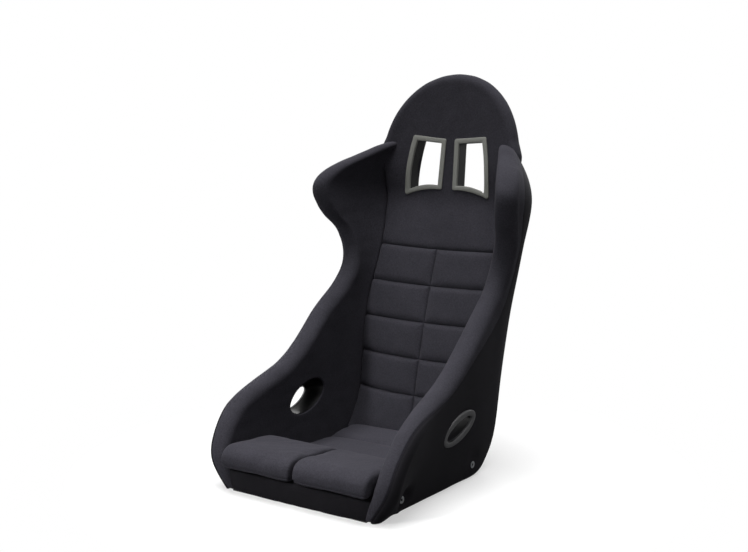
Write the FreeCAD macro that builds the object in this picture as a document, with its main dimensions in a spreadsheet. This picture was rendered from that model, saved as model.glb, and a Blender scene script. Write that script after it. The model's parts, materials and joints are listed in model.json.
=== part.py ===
import FreeCAD, Part
import math
import os
import re

import Sketcher
from FreeCAD import Placement, Rotation, Vector

# Racing bucket seat: tube frame, moulded foam, sewn covers, harness slots and a lift-out cushion.
# Millimetres. The front looks along -Y, the seat's left is +X, and Z = 0 is its underside.

doc = FreeCAD.newDocument("racing_seat")
sheet = doc.addObject("Spreadsheet::Sheet", "sizes")

# Driving sizes. Each is written once, here.
SIZES = {
    # covers, foam and the air between pieces
    "cover_thickness": 2.5,
    "cover_gap": 1.0,
    "piece_gap": 0.5,
    "wall_hollow": 4,
    "seam_drop": 30,
    "seam_gap": 1.0,
    "middle_half_width": 196,
    "cutter_margin": 6,
    "cutter_reach": 40,
    "neck_margin": 5,
    # steel frame
    "tube_radius": 10,
    "tube_wall": 2,
    "hoop_wall": 1.5,
    "bend_radius": 70,
    "bend_share": 0.45,
    "rim_tube_lift": 14,
    "hoop_foot_z": 16,
    "hoop_half_width": 182,
    "hoop_depth": 16,
    "hoop_head_half_width": 128,
    "hoop_head_rise": 205,
    "hoop_top_half_width": 62,
    "hoop_top_rise": 266,
    "cross_tube_radius": 8,
    "base_tube_height": 14.5,
    "front_tube_y": -250,
    "rear_tube_y": 68,
    "lumbar_tube_share": 0.25,
    "shoulder_tube_share": 0.45,
    "pan_thickness": 3,
    "pan_front_y": -258,
    "pan_rear_y": 64,
    "pan_half_width": 172,
    # side mounting
    "plate_inner_x": 195,
    "plate_thickness": 5,
    "plate_front_y": -258,
    "plate_rear_y": 82,
    "plate_low_z": 6,
    "plate_high_z": 50,
    "plate_corner": 8,
    "bush_front_y": -235,
    "bush_spacing": 290,
    "bush_height": 32,
    "bush_radius": 8,
    "bush_bore_radius": 3.4,
    "bush_face_x": 211.5,
    "weld_gap": 0.1,
    # base
    "base_front_y": -262,
    "base_cover_front_y": -316,
    "base_wedge_z": 50,
    "base_wedge_rear_y": -165,
    "base_wedge_rear_z": 44,
    "base_flat_y": -112,
    "base_flat_z": 25,
    "base_flat_rear_y": 117,
    "lip_front_y": -325,
    "lip_top_z": 52,
    "lip_bevel": 10,
    "lip_foot_z": 0.6,
    # quilted back pad: seams from the lowest row up, then the plain panel's top
    "quilt_depth": 20,
    "quilt_crown": 7,
    "quilt_least_crown": 0.5,
    "quilt_valley": 5,
    "quilt_shoulder": 12,
    "shoulder_fullness": 0.75,
    "panel_fullness": 0.5,
    "pad_foot_y": 121,
    "pad_foot_z": 85,
    "seam_five_y": 133,
    "seam_five_z": 144,
    "seam_four_y": 153,
    "seam_four_z": 230,
    "seam_three_y": 177,
    "seam_three_z": 316,
    "seam_two_y": 203,
    "seam_two_z": 402,
    "seam_one_y": 232,
    "seam_one_z": 488,
    # head and shoulder plate, in its own tilted plane
    "head_front_y": 278,
    "head_foot_z": 600,
    "head_tilt": 6.6,
    "head_thickness": 46,
    "head_edge_radius": 20,
    "head_stem_half_width": 181,
    "head_neck_rise": 116.6,
    "head_neck_half_width": 196,
    "head_side_half_width": 181,
    "head_side_rise": 149,
    "head_temple_half_width": 169,
    "head_temple_rise": 189,
    "head_corner_half_width": 133,
    "head_corner_rise": 248.6,
    "head_top_rise": 308,
    # shoulder belt slots
    "slot_outer_top_x": 100,
    "slot_outer_top_rise": 159,
    "slot_inner_x": 15,
    "slot_inner_top_rise": 152,
    "slot_outer_low_x": 114,
    "slot_outer_low_rise": 12,
    "slot_inner_low_rise": 29,
    "slot_corner_radius": 14,
    "slot_frame_width": 11,
    "slot_frame_height": 2.5,
    "slot_sleeve_wall": 2,
    # lap belt slots
    "lap_slot_y": -37,
    "lap_slot_z": 141,
    "lap_slot_half_length": 62,
    "lap_slot_half_height": 29,
    "lap_slot_ring_width": 11,
    "lap_slot_ring_thickness": 4,
    "lap_slot_tilt": 18,
    "lap_slot_lean": 7,
    "lap_slot_yaw": 3,
    "lap_slot_outer_x": 228.5,
    "lap_slot_inner_x": 184,
    "lap_slot_sleeve_wall": 2.5,
    # lift-out cushion
    "cushion_clearance": 1.0,
    "cushion_floor_z": 27.5,
    "cushion_half_width": 184,
    "cushion_crown": 3,
    "thigh_pad_outer_x": 186,
    "thigh_pad_inner_x": 2.5,
    "thigh_side_bulge": 1.5,
    "thigh_inner_bulge": 0.5,
    "thigh_roll_height": 8,
    "thigh_roll_share": 0.3,
    "thigh_roll_ratio": 3,
    "strip_thickness": 1.1,
    "strip_length": 240,
    "strip_width": 40,
    "strip_front_y": -60,
    "strip_rear_y": 60,
}

# Sections of one side wall, from the toe round the seat and up to the neck. Foot is where the
# section meets the shell's underside or back, rim the centre of its rolled lip, crease where its
# inner wall starts, outer its widest place at the foot, bulge the swell of its outer wall, and lip
# the radius of the roll.
SECTION_SIZES = (
    "foot_y", "foot_z", "rim_x", "rim_y", "rim_z", "crease_x", "crease_rise", "outer_x", "bulge", "lip",
)
SECTIONS = {
    "toe": (-248, 1.2, 206, -292, 1.2, 187, 12, 206, 2, 27),
    "shin": (-241, 1.2, 213, -304, 50, 187, 15, 204, 2, 27),
    "knee": (-231, 1.2, 224, -290, 103, 188, 20, 203, 3, 27),
    "lap": (-210, 1.2, 226, -245, 159, 188, 22, 203, 3, 27),
    "thigh": (-155, 1.2, 219, -170, 192, 187, 22, 205, 3, 27),
    "flank": (-80, 1.2, 213, -90, 222, 182, 22, 206, 3, 27),
    "belt": (-5, 1.2, 212, -24, 264, 178, 22, 206, 3, 27),
    "hip": (84, 1.2, 212, 47, 327, 174, 30, 206, 3, 27),
    "tail": (132, 27, 208, 105, 370, 168, 70, 203, 4, 27),
    "curl": (170, 74, 207, 121, 382, 170, 90, 202, 4, 27),
    "rump": (195, 175, 207, 137, 395, 172, 107, 200, 5, 27),
    "lumbar": (232, 311, 206, 166, 427, 172, 76, 198, 5, 27),
    "waist": (267, 418, 211, 183, 476, 162, 59, 197, 7, 27),
    "loin": (297, 510, 226, 174, 533, 162, 56, 198, 13, 27),
    "wing_low": (314, 560, 242, 150, 574, 168, 56, 200, 20, 27),
    "wing_tip": (325, 607, 255, 128, 630, 175, 46, 202, 24, 27),
    "wing_top": (330, 650, 233, 170, 669, 176, 46, 200, 18, 27),
    "neck_low": (334, 683, 200, 230, 695, 162, 46, 194, 8, 25),
    "neck": (337, 710.7, 174, 293, 716, 146, 42, 188, 3, 20),
}
BOLSTER = ("toe", "waist")
WING = ("waist", "neck")
RIM_LINE = (
    "shin", "knee", "lap", "thigh", "belt", "hip", "rump", "lumbar", "waist", "loin", "wing_low",
    "wing_tip", "wing_top", "neck_low",
)
BASE_LINE = ("toe", "lap", "thigh", "flank", "belt")
SEAMS = ("seam_five", "seam_four", "seam_three", "seam_two", "seam_one")
UPRIGHT = 0.9

# Thigh pad sections from its nose to its rear edge: place along Y, underside and top.
THIGH_SIZES = ("y", "low_z", "high_z")
THIGH_SECTIONS = {
    "nose": (-351, 66, 80),
    "brow": (-345, 58, 93),
    "front": (-328, 54.5, 102),
    "crest": (-290, 54.5, 104),
    "mid": (-220, 51, 98),
    "ridge": (-172, 48.5, 90),
    "fall": (-140, 38.5, 72),
    "tail_end": (-114, 28, 48),
}

# Seat cushion sections from behind the thigh pads to the backrest: place along Y and top.
CUSHION_SIZES = ("y", "high_z")
CUSHION_SECTIONS = {
    "edge": (-110, 44),
    "front_row": (-98, 46),
    "middle_row": (23, 46),
    "channel": (35, 41),
    "rear_row": (47, 49),
    "rear_crest": (107, 61),
    "rear_edge": (118, 62),
}


def write_sizes():
    """Write every driving size into the sheet, one row each, under its own name."""
    rows = dict(SIZES)
    tables = [*SECTIONS.values(), *THIGH_SECTIONS.values(), *CUSHION_SECTIONS.values()]
    for section, values in SECTIONS.items():
        rows.update({f"{section}_{part}": value for part, value in zip(SECTION_SIZES, values)})
    for section, values in THIGH_SECTIONS.items():
        rows.update({f"thigh_{section}_{part}": value for part, value in zip(THIGH_SIZES, values)})
    for section, values in CUSHION_SECTIONS.items():
        rows.update({f"cushion_{section}_{part}": value for part, value in zip(CUSHION_SIZES, values)})
    if len(rows) != len(SIZES) + sum(len(values) for values in tables):
        raise RuntimeError("two sizes share one name")
    for row, (name, value) in enumerate(rows.items(), start=1):
        sheet.set(f"A{row}", name)
        sheet.set(f"B{row}", str(value))
        sheet.setAlias(f"B{row}", name)
    doc.recompute()


def size(name):
    """The sheet's value under a name."""
    return float(getattr(sheet, name))


def bound(expression):
    """A formula of size names, written so that it reads them from the sheet."""
    return re.sub(r"[a-z][a-z_]+", r"sizes.\g<0>", expression)


def feature(label, shape):
    """Keep a shape as an object of the document under its own label."""
    kept = doc.addObject("Part::Feature", label)
    kept.Label = label
    kept.Shape = shape
    return kept


def cut_away(label, base, tools):
    """A piece cut back by each tool in turn."""
    for number, tool in enumerate(tools, start=1):
        cut = doc.addObject("Part::Cut", f"{label}_cut_{number}")
        cut.Base = base
        cut.Tool = tool
        base = cut
    base.Label = label
    return base


def mirrored(label, source):
    """The same piece on the seat's other side."""
    mirror = doc.addObject("Part::Mirroring", label)
    mirror.Label = label
    mirror.Source = source
    mirror.Normal = Vector(1, 0, 0)
    return mirror


def outline_body(label, plane, corners, depth, midplane=True):
    """A body padded from a closed outline whose corners are formulas of the sheet's sizes."""
    body = doc.addObject("PartDesign::Body", label)
    body.Label = label
    sketch = body.newObject("Sketcher::SketchObject", f"{label}_outline")
    origin_plane = [part for part in body.Origin.OriginFeatures if part.Role == plane][0]
    sketch.AttachmentSupport = [(origin_plane, "")]
    sketch.MapMode = "FlatFace"
    places = [[float(sheet.evalExpression(bound(text))) for text in corner] for corner in corners]
    count = len(corners)
    for number in range(count):
        start, end = places[number], places[(number + 1) % count]
        sketch.addGeometry(Part.LineSegment(Vector(*start, 0), Vector(*end, 0)), False)
    for number in range(count):
        sketch.addConstraint(Sketcher.Constraint("Coincident", number, 2, (number + 1) % count, 1))
    for number, corner in enumerate(corners):
        for kind, text, value in zip(("DistanceX", "DistanceY"), corner, places[number]):
            constraint = sketch.addConstraint(Sketcher.Constraint(kind, -1, 1, number, 1, value))
            sketch.setExpression(f"Constraints[{constraint}]", bound(text))
    pad = body.newObject("PartDesign::Pad", f"{label}_pad")
    pad.Profile = sketch
    pad.SideType = "Symmetric" if midplane else "One side"
    pad.setExpression("Length", bound(depth))
    body.Tip = pad
    doc.recompute()
    return body


def bar_across(label, radius, length, place):
    """A round bar along X, with its radius, length and place bound to the sheet."""
    bar = doc.addObject("Part::Cylinder", label)
    bar.setExpression("Radius", bound(radius))
    bar.setExpression("Height", bound(length))
    bar.Placement = Placement(Vector(), Rotation(Vector(0, 0, 1), Vector(1, 0, 0)))
    for axis, text in zip("xyz", place):
        bar.setExpression(f"Placement.Base.{axis}", bound(text))
    return bar


# Side wall sections


def named(name):
    """The sizes of one named section."""
    return {part: size(f"{name}_{part}") for part in SECTION_SIZES}


def midway(before, start, end, after):
    """A value halfway between two, on a cubic through all four, kept between the two."""
    middle = (9 * (start + end) - before - after) / 16
    return min(max(middle, min(start, end)), max(start, end))


def sections_between(first, last):
    """The named sections from first to last, with one more worked out between each two."""
    chain = [named(name) for name in SECTIONS]
    names = list(SECTIONS)
    start, end = names.index(first), names.index(last)
    found = [chain[start]]
    for number in range(start, end):
        four = [chain[min(max(number + step, 0), len(chain) - 1)] for step in (-1, 0, 1, 2)]
        found.append({part: midway(*[section[part] for section in four]) for part in SECTION_SIZES})
        found.append(chain[number + 1])
    return found


def section_frame(section):
    """A section's foot, its direction from foot to rim, and the distance between them."""
    foot = Vector(0, section["foot_y"], section["foot_z"])
    rim = Vector(0, section["rim_y"], section["rim_z"])
    length = foot.distanceToPoint(rim)
    return foot, (rim - foot).normalize(), length


def section_point(section, place):
    """Where a section's own pair (out from the middle, up from the foot) lies in the seat."""
    foot, up, _ = section_frame(section)
    return foot + up * place[1] + Vector(place[0], 0, 0)


def lip_angle(corner, centre, radius, side):
    """The angle on the lip's circle at which the wall from a corner touches it."""
    away = (corner[0] - centre[0], corner[1] - centre[1])
    turn = math.acos(radius / math.hypot(*away))
    return math.atan2(away[1], away[0]) + side * turn


def on_circle(centre, radius, angle):
    """The point of a circle at an angle."""
    return (centre[0] + radius * math.cos(angle), centre[1] + radius * math.sin(angle))


def on_bow(start, end, sagitta, share):
    """The point a share of the way along a shallow arc that swells out by its sagitta."""
    chord = math.dist(start, end)
    half = 2 * math.atan(2 * sagitta / chord)
    radius = chord / (2 * math.sin(half))
    angle = -half + 2 * half * share
    along = radius * (math.sin(angle) + math.sin(half))
    off = radius * (math.cos(angle) - math.cos(half))
    way = ((end[0] - start[0]) / chord, (end[1] - start[1]) / chord)
    return (start[0] + way[0] * along - way[1] * off, start[1] + way[1] * along + way[0] * off)


def side_path(section, inset, below=0):
    """A section's outside, drawn in by an inset: crease, lip and outer wall, corner by corner."""
    _, _, length = section_frame(section)
    radius = section["lip"] - inset
    centre = (section["rim_x"], length)
    crease = (section["crease_x"] + inset, section["crease_rise"])
    heel = (section["crease_x"] + inset, inset - below)
    corner = (section["outer_x"] - inset, inset - below)
    inner = lip_angle(crease, centre, radius, -1) + 2 * math.pi
    outer = lip_angle(corner, centre, radius, 1)
    inner_touch = on_circle(centre, radius, inner)
    outer_touch = on_circle(centre, radius, outer)
    top = (inner + outer) / 2
    bulge = section["bulge"]
    wall = math.dist(outer_touch, corner)
    seam = size("seam_drop") / wall
    return {
        "heel": heel,
        "crease": crease,
        "hollow": on_bow(crease, inner_touch, -size("wall_hollow"), 0.5),
        "inner_touch": inner_touch,
        "inner_lip": on_circle(centre, radius, (inner + top) / 2),
        "top": on_circle(centre, radius, top),
        "outer_lip": on_circle(centre, radius, (outer + top) / 2),
        "outer_touch": outer_touch,
        "above_seam": on_bow(outer_touch, corner, bulge, seam / 2),
        "seam": on_bow(outer_touch, corner, bulge, seam),
        "below_seam": on_bow(outer_touch, corner, bulge, seam + size("seam_gap") / wall),
        "low_wall": on_bow(outer_touch, corner, bulge, (seam + 1) / 2),
        "whole_wall": on_bow(outer_touch, corner, bulge, 0.5),
        "corner": corner,
    }


def section_wire(section, steps):
    """A closed wire of straight edges (two places) and arcs (three places)."""
    edges = []
    for step in steps:
        places = [section_point(section, place) for place in step]
        if len(places) == 2:
            edges.append(Part.makeLine(*places))
        else:
            edges.append(Part.Arc(*places).toShape())
    return Part.Wire(edges)


def lip_steps(path):
    """The arcs from the crease over the lip to where the outer wall starts."""
    return [
        (path["crease"], path["hollow"], path["inner_touch"]),
        (path["inner_touch"], path["inner_lip"], path["top"]),
        (path["top"], path["outer_lip"], path["outer_touch"]),
    ]


def backwards(steps):
    """The same edges from the far end."""
    return [tuple(reversed(step)) for step in reversed(steps)]


def largest(shape):
    """The main solid of a cut shape, without the slivers that the cut leaves."""
    return max(shape.Solids, key=lambda solid: solid.Volume)


def closed_with(forward, inner):
    """An outer path, a step in, the inner path back, and a step out."""
    back = backwards(inner)
    return forward + [(forward[-1][-1], back[0][0])] + back + [(back[-1][-1], forward[0][0])]


def foam_steps(section, inset, below=0):
    """The whole section, closed along its inner side and reaching a margin below its foot."""
    path = side_path(section, inset, below)
    return lip_steps(path) + [
        (path["outer_touch"], path["whole_wall"], path["corner"]),
        (path["corner"], path["heel"]),
        (path["heel"], path["crease"]),
    ]


def front_cover_steps(section):
    """The cover's front panel: inner wall, lip, and down to the seam on the outer wall."""
    outside = side_path(section, 0)
    inside = side_path(section, size("cover_thickness"))
    return closed_with(
        lip_steps(outside) + [(outside["outer_touch"], outside["above_seam"], outside["seam"])],
        lip_steps(inside) + [(inside["outer_touch"], inside["above_seam"], inside["seam"])],
    )


def side_cover_steps(section):
    """The cover's side panel: from the seam down the outer wall and in under the foam."""
    outside = side_path(section, 0)
    inside = side_path(section, size("cover_thickness"))
    inside_heel = (outside["heel"][0], inside["heel"][1])
    wall = (outside["below_seam"], outside["low_wall"], outside["corner"])
    wall_inside = (inside["below_seam"], inside["low_wall"], inside["corner"])
    return closed_with(
        [wall, (outside["corner"], outside["heel"])],
        [wall_inside, (inside["corner"], inside_heel)],
    )


def side_loft(ends, steps, *options):
    """A smooth solid through the sections of one side, from one named section to another."""
    wires = [section_wire(section, steps(section, *options)) for section in sections_between(*ends)]
    return Part.makeLoft(wires, True, False)


# Tubes


def bent_wire(points):
    """Straight runs joined by tangent arcs, each as large as its two runs and the bend size allow."""
    edges = []
    start = points[0]
    for before, corner, after in zip(points, points[1:], points[2:]):
        back, on = before - corner, after - corner
        short_run = min(back.Length, on.Length)
        back.normalize()
        on.normalize()
        half_turn = (math.pi - back.getAngle(on)) / 2
        radius = min(size("bend_radius"), size("bend_share") * short_run / math.tan(half_turn))
        touch = radius * math.tan(half_turn)
        inward = back + on
        inward.normalize()
        middle = corner + inward * (radius / math.cos(half_turn) - radius)
        first, last = corner + back * touch, corner + on * touch
        edges.append(Part.makeLine(start, first))
        edges.append(Part.Arc(first, middle, last).toShape())
        start = last
    edges.append(Part.makeLine(start, points[-1]))
    return Part.Wire(edges)


def bar_along(points, radius):
    """A round solid bar whose middle line is the bent path."""
    path = bent_wire(points)
    first = points[1] - points[0]
    ring = Part.Wire([Part.Circle(points[0], first, radius).toShape()])
    return path.makePipeShell([ring], True, False)


def tube_along(points, radius, wall):
    """A round tube with a wall of the given thickness."""
    return bar_along(points, radius).cut(bar_along(points, radius - wall))


def shell_places(first, last, half_width, depth):
    """Places along the shell's back line from one section to another, a depth square in from it."""
    feet = [section_frame(section)[0] for section in sections_between(first, last)]
    runs = [feet[1] - feet[0]] + [after - before for before, after in zip(feet, feet[2:])]
    runs = [run.normalize() * depth for run in runs + [feet[-1] - feet[-2]]]
    return [foot + Vector(half_width, -run.z, run.y) for foot, run in zip(feet, runs)]


def in_head(x, rise, depth):
    """A place in the head plate: out from the middle, up its plane, and behind its front."""
    return head_placement().multVec(Vector(x, rise, -depth))


def head_placement():
    """The head plate's own plane: X across, Y up the plate, Z out of its front."""
    return Placement(
        Vector(0, size("head_front_y"), size("head_foot_z")),
        Rotation(Vector(1, 0, 0), 90 - size("head_tilt")),
    )


def rim_tube_points():
    """The rim tube's path along the lip's middle, from just above the floor to the hoop's neck."""
    foot = Vector(size("toe_rim_x"), size("toe_rim_y"), size("rim_tube_lift"))
    axes = ("rim_x", "rim_y", "rim_z")
    return [foot] + [Vector(*[named(name)[axis] for axis in axes]) for name in RIM_LINE] + [hoop_neck()]


def hoop_neck():
    """Where the back hoop passes the neck and takes the rim tube's end."""
    depth = size("head_thickness") - size("hoop_depth")
    return in_head(size("neck_crease_x") + size("tube_radius"), size("head_neck_rise"), depth)


def hoop_points():
    """The back hoop's path: up the left side, over the head and down the right."""
    width, depth = size("hoop_half_width"), size("hoop_depth")
    leg = [Vector(width, size("rear_tube_y"), size("hoop_foot_z"))]
    leg += shell_places("tail", "wing_tip", width, depth)[::2]
    middle = size("head_thickness") / 2
    leg.append(hoop_neck())
    leg.append(in_head(size("hoop_head_half_width"), size("hoop_head_rise"), middle))
    leg.append(in_head(size("hoop_top_half_width"), size("hoop_top_rise"), middle))
    other = [Vector(-point.x, point.y, point.z) for point in reversed(leg)]
    return leg + other


# Head plate and slots


def head_outline():
    """The plate's edge: a stem between the wings, the neck, and an arched head."""
    def place(x, rise):
        return Vector(x, rise, 0)

    stem, neck = size("head_stem_half_width"), size("head_neck_rise")
    side = (size("head_side_half_width"), size("head_side_rise"))
    temple = (size("head_temple_half_width"), size("head_temple_rise"))
    corner = (size("head_corner_half_width"), size("head_corner_rise"))
    right = [place(stem, 0), place(stem, neck), place(size("head_neck_half_width"), neck), place(*side)]
    left = [place(-point.x, point.y) for point in reversed(right)]
    edges = [Part.makeLine(start, end) for start, end in zip(right, right[1:])]
    edges.append(Part.Arc(place(*side), place(*temple), place(*corner)).toShape())
    top, far_corner = place(0, size("head_top_rise")), place(-corner[0], corner[1])
    edges.append(Part.Arc(place(*corner), top, far_corner).toShape())
    edges.append(Part.Arc(far_corner, place(-temple[0], temple[1]), left[0]).toShape())
    edges += [Part.makeLine(start, end) for start, end in zip(left, left[1:])]
    edges.append(Part.makeLine(left[-1], right[0]))
    return Part.Wire(edges)


def head_block(inset, below=0):
    """The head plate drawn in by an inset, its arched edges rounded, reaching below its foot."""
    outline = head_outline()
    if inset:
        outline = outline.makeOffset2D(-inset)
    thickness = size("head_thickness") - 2 * inset
    block = Part.Face(outline).extrude(Vector(0, 0, -thickness))
    arched = [edge for edge in block.Edges if is_arched(edge)]
    block = block.makeFillet(size("head_edge_radius") - inset, arched)
    if below:
        wide = 2 * (size("head_stem_half_width") - inset)
        foot = Part.makeBox(wide, 2 * below, thickness, Vector(-wide / 2, -below, -thickness))
        block = block.fuse(foot).removeSplitter()
    block.Placement = head_placement() * Placement(Vector(0, 0, -inset), Rotation())
    return block


def is_arched(edge):
    """Whether an edge of the head plate belongs to its rounded front or back outline above the neck."""
    across_plate = abs(edge.tangentAt(edge.FirstParameter).z) > UPRIGHT
    return not across_plate and edge.CenterOfMass.y > size("head_neck_rise") + size("neck_margin")


def slot_block(inset, front, back):
    """A prism of a shoulder slot's outline, drawn in by an inset, between two depths of the plate."""
    corners = [
        Vector(size("slot_inner_x"), size("slot_inner_low_rise"), 0),
        Vector(size("slot_outer_low_x"), size("slot_outer_low_rise"), 0),
        Vector(size("slot_outer_top_x"), size("slot_outer_top_rise"), 0),
        Vector(size("slot_inner_x"), size("slot_inner_top_rise"), 0),
    ]
    outline = Part.makePolygon(corners + corners[:1])
    if inset:
        outline = outline.makeOffset2D(-inset, 2)
    block = Part.Face(outline).extrude(Vector(0, 0, front - back))
    upright = [edge for edge in block.Edges if abs(edge.tangentAt(edge.FirstParameter).z) > UPRIGHT]
    block = block.makeFillet(size("slot_corner_radius") - inset, upright)
    block.Placement = head_placement() * Placement(Vector(0, 0, back), Rotation())
    return block


def lap_block(grow, inner_x, outer_x, lean=0, yaw=0):
    """An oval prism across the side wall at the lap belt slot, larger than the slot by a margin."""
    half_length = size("lap_slot_half_length") - size("lap_slot_ring_width") + grow
    half_height = size("lap_slot_half_height") - size("lap_slot_ring_width") + grow
    oval = Part.Wire([Part.Ellipse(Vector(0, 0, 0), half_length, half_height).toShape()])
    block = Part.Face(oval).extrude(Vector(0, 0, outer_x - inner_x))
    centre = Vector(size("lap_slot_outer_x"), size("lap_slot_y"), size("lap_slot_z"))
    through_wall = Rotation(Vector(0, 1, 0), Vector(0, 0, 1), Vector(1, 0, 0))
    tilt = Rotation(Vector(1, 0, 0), size("lap_slot_tilt"))
    turned = Rotation(Vector(0, 0, 1), yaw) * Rotation(Vector(0, 1, 0), lean) * tilt * through_wall
    block.Placement = Placement(centre, turned) * Placement(Vector(0, 0, inner_x - centre.x), Rotation())
    return block


# Quilted pad and cushion


def pad_line():
    """The back pad's front line in the middle plane: foot, five seams and the plain panel's top."""
    places = [(size("pad_foot_y"), size("pad_foot_z"))]
    places += [(size(f"{seam}_y"), size(f"{seam}_z")) for seam in SEAMS]
    places.append((size("head_front_y"), size("head_foot_z")))
    return [Vector(0, y, z) for y, z in places]


def pad_normals():
    """The way out of the pad's front at each place of its line: the mean of its two runs."""
    line = pad_line()
    runs = [(end - start).normalize() for start, end in zip(line, line[1:])]
    means = [runs[0]] + [(one + two).normalize() for one, two in zip(runs, runs[1:])]
    tilt = math.radians(size("head_tilt"))
    means.append(Vector(0, math.sin(tilt), math.cos(tilt)))
    return [Vector(0, -run.z, run.y) for run in means]


def quilt_wire(place, normal, fullness):
    """A section across the pad: flat behind, with one swell each side of the middle seam."""
    half = size("middle_half_width")
    depth = size("quilt_depth")
    crown = size("quilt_crown") * fullness + size("quilt_least_crown")
    valley = size("quilt_valley") * (1 - fullness)

    def out(x, rise):
        return place + normal * rise + Vector(x, 0, 0)

    return Part.Wire([
        Part.makeLine(out(-half, -depth), out(half, -depth)),
        Part.makeLine(out(half, -depth), out(half, -valley - crown)),
        Part.Arc(out(half, -valley - crown), out(half / 2, -valley), out(0, -valley - crown)).toShape(),
        Part.Arc(out(0, -valley - crown), out(-half / 2, -valley), out(-half, -valley - crown)).toShape(),
        Part.makeLine(out(-half, -valley - crown), out(-half, -depth)),
    ])


def quilt_block():
    """The quilted pad: five rows of two swells with channels between, and a plain panel above."""
    line, normals = pad_line(), pad_normals()
    wires = []
    last = len(line) - 2
    for number, (start, end) in enumerate(zip(line, line[1:])):
        length = start.distanceToPoint(end)
        shoulder = size("quilt_shoulder") / length
        full, plain = size("shoulder_fullness"), size("panel_fullness")
        stops = ((0, 0), (shoulder, full), (1 / 2, 1), (1 - shoulder, full))
        if number == last:
            stops = ((0, 0), (shoulder, plain), (1, plain))
        for share, fullness in stops:
            normal = normals[number] * (1 - share) + normals[number + 1] * share
            wires.append(quilt_wire(start + (end - start) * share, normal, fullness))
    return Part.makeLoft(wires, True, True)


def thigh_wire(y, low, high):
    """A thigh pad's section: flat below, swollen sides, rolled edges and a crowned top."""
    inner, outer = size("thigh_pad_inner_x"), size("thigh_pad_outer_x")
    side = min(size("thigh_roll_share") * (high - low), size("thigh_roll_height"))
    roll = size("thigh_roll_ratio") * side
    eased = 1 - math.cos(math.pi / 4)
    middle = (low + high) / 2

    def at(x, z):
        return Vector(x, y, z)

    outer_side, inner_side = at(outer, high - side), at(inner, high - side)
    outer_top, inner_top = at(outer - roll, high), at(inner + roll, high)
    outer_roll = at(outer - eased * roll, high - eased * side)
    inner_roll = at(inner + eased * roll, high - eased * side)
    crest = at((inner + outer) / 2, high + size("thigh_side_bulge"))
    return Part.Wire([
        Part.makeLine(at(inner, low), at(outer, low)),
        Part.Arc(at(outer, low), at(outer + size("thigh_side_bulge"), middle), outer_side).toShape(),
        Part.Arc(outer_side, outer_roll, outer_top).toShape(),
        Part.Arc(outer_top, crest, inner_top).toShape(),
        Part.Arc(inner_top, inner_roll, inner_side).toShape(),
        Part.Arc(inner_side, at(inner - size("thigh_inner_bulge"), middle), at(inner, low)).toShape(),
    ])


def thigh_block():
    """One thigh pad: rounded nose, high crest under the knee, and a slope down to the seat."""
    places = [[size(f"thigh_{section}_{part}") for part in THIGH_SIZES] for section in THIGH_SECTIONS]
    return Part.makeLoft([thigh_wire(*place) for place in places], True, True)


def cushion_wire(y, high):
    """A section across the seat cushion."""
    half = size("cushion_half_width")
    low, side = size("cushion_floor_z"), size("cushion_crown")

    def at(x, z):
        return Vector(x, y, z)

    return Part.Wire([
        Part.makeLine(at(-half, low), at(half, low)),
        Part.makeLine(at(half, low), at(half, high - side)),
        Part.Arc(at(half, high - side), at(0, high), at(-half, high - side)).toShape(),
        Part.makeLine(at(-half, high - side), at(-half, low)),
    ])


def cushion_block():
    """The seat cushion behind the thigh pads, with one sewn channel and a raised rear edge."""
    places = [[size(f"cushion_{section}_{part}") for part in CUSHION_SIZES] for section in CUSHION_SECTIONS]
    return Part.makeLoft([cushion_wire(*place) for place in places], True, True)


write_sizes()

# Spaces that the side walls fill, used to cut the middle pieces clear of them
gap = size("piece_gap")
margin = size("cutter_margin")
reach = size("cutter_reach")
cushion_gap = size("cushion_clearance")
bolster_space = feature("bolster_space", side_loft(BOLSTER, foam_steps, -gap, margin))
wing_space = feature("wing_space", side_loft(WING, foam_steps, -gap, margin))
cushion_space = feature("cushion_space", side_loft(BOLSTER, foam_steps, -cushion_gap, margin))
side_spaces = [bolster_space, mirrored("bolster_space_right", bolster_space)]
wing_spaces = [wing_space, mirrored("wing_space_right", wing_space)]
cushion_spaces = [cushion_space, mirrored("cushion_space_right", cushion_space)]
doc.recompute()

kept = []

# Steel frame
tube = size("tube_radius")
rim_points = rim_tube_points()
hoop_path = hoop_points()
hoop_bar = bar_along(hoop_path, tube)
rim_tube = feature("rim_tube_left", tube_along(rim_points, tube, size("tube_wall")).cut(hoop_bar))
kept += [rim_tube, mirrored("rim_tube_right", rim_tube)]

cross = size("cross_tube_radius")
plate_x = size("plate_inner_x")


def cross_bar(radius, half_length, y, z):
    """A straight bar across the seat."""
    return Part.makeCylinder(radius, 2 * half_length, Vector(-half_length, y, z), Vector(1, 0, 0))


def between(first, second, share):
    """A place in line with the hoop's legs, a share of the way from one section to the next."""
    places = shell_places(first, second, 0, size("hoop_depth"))
    return places[0] + (places[-1] - places[0]) * share


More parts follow.
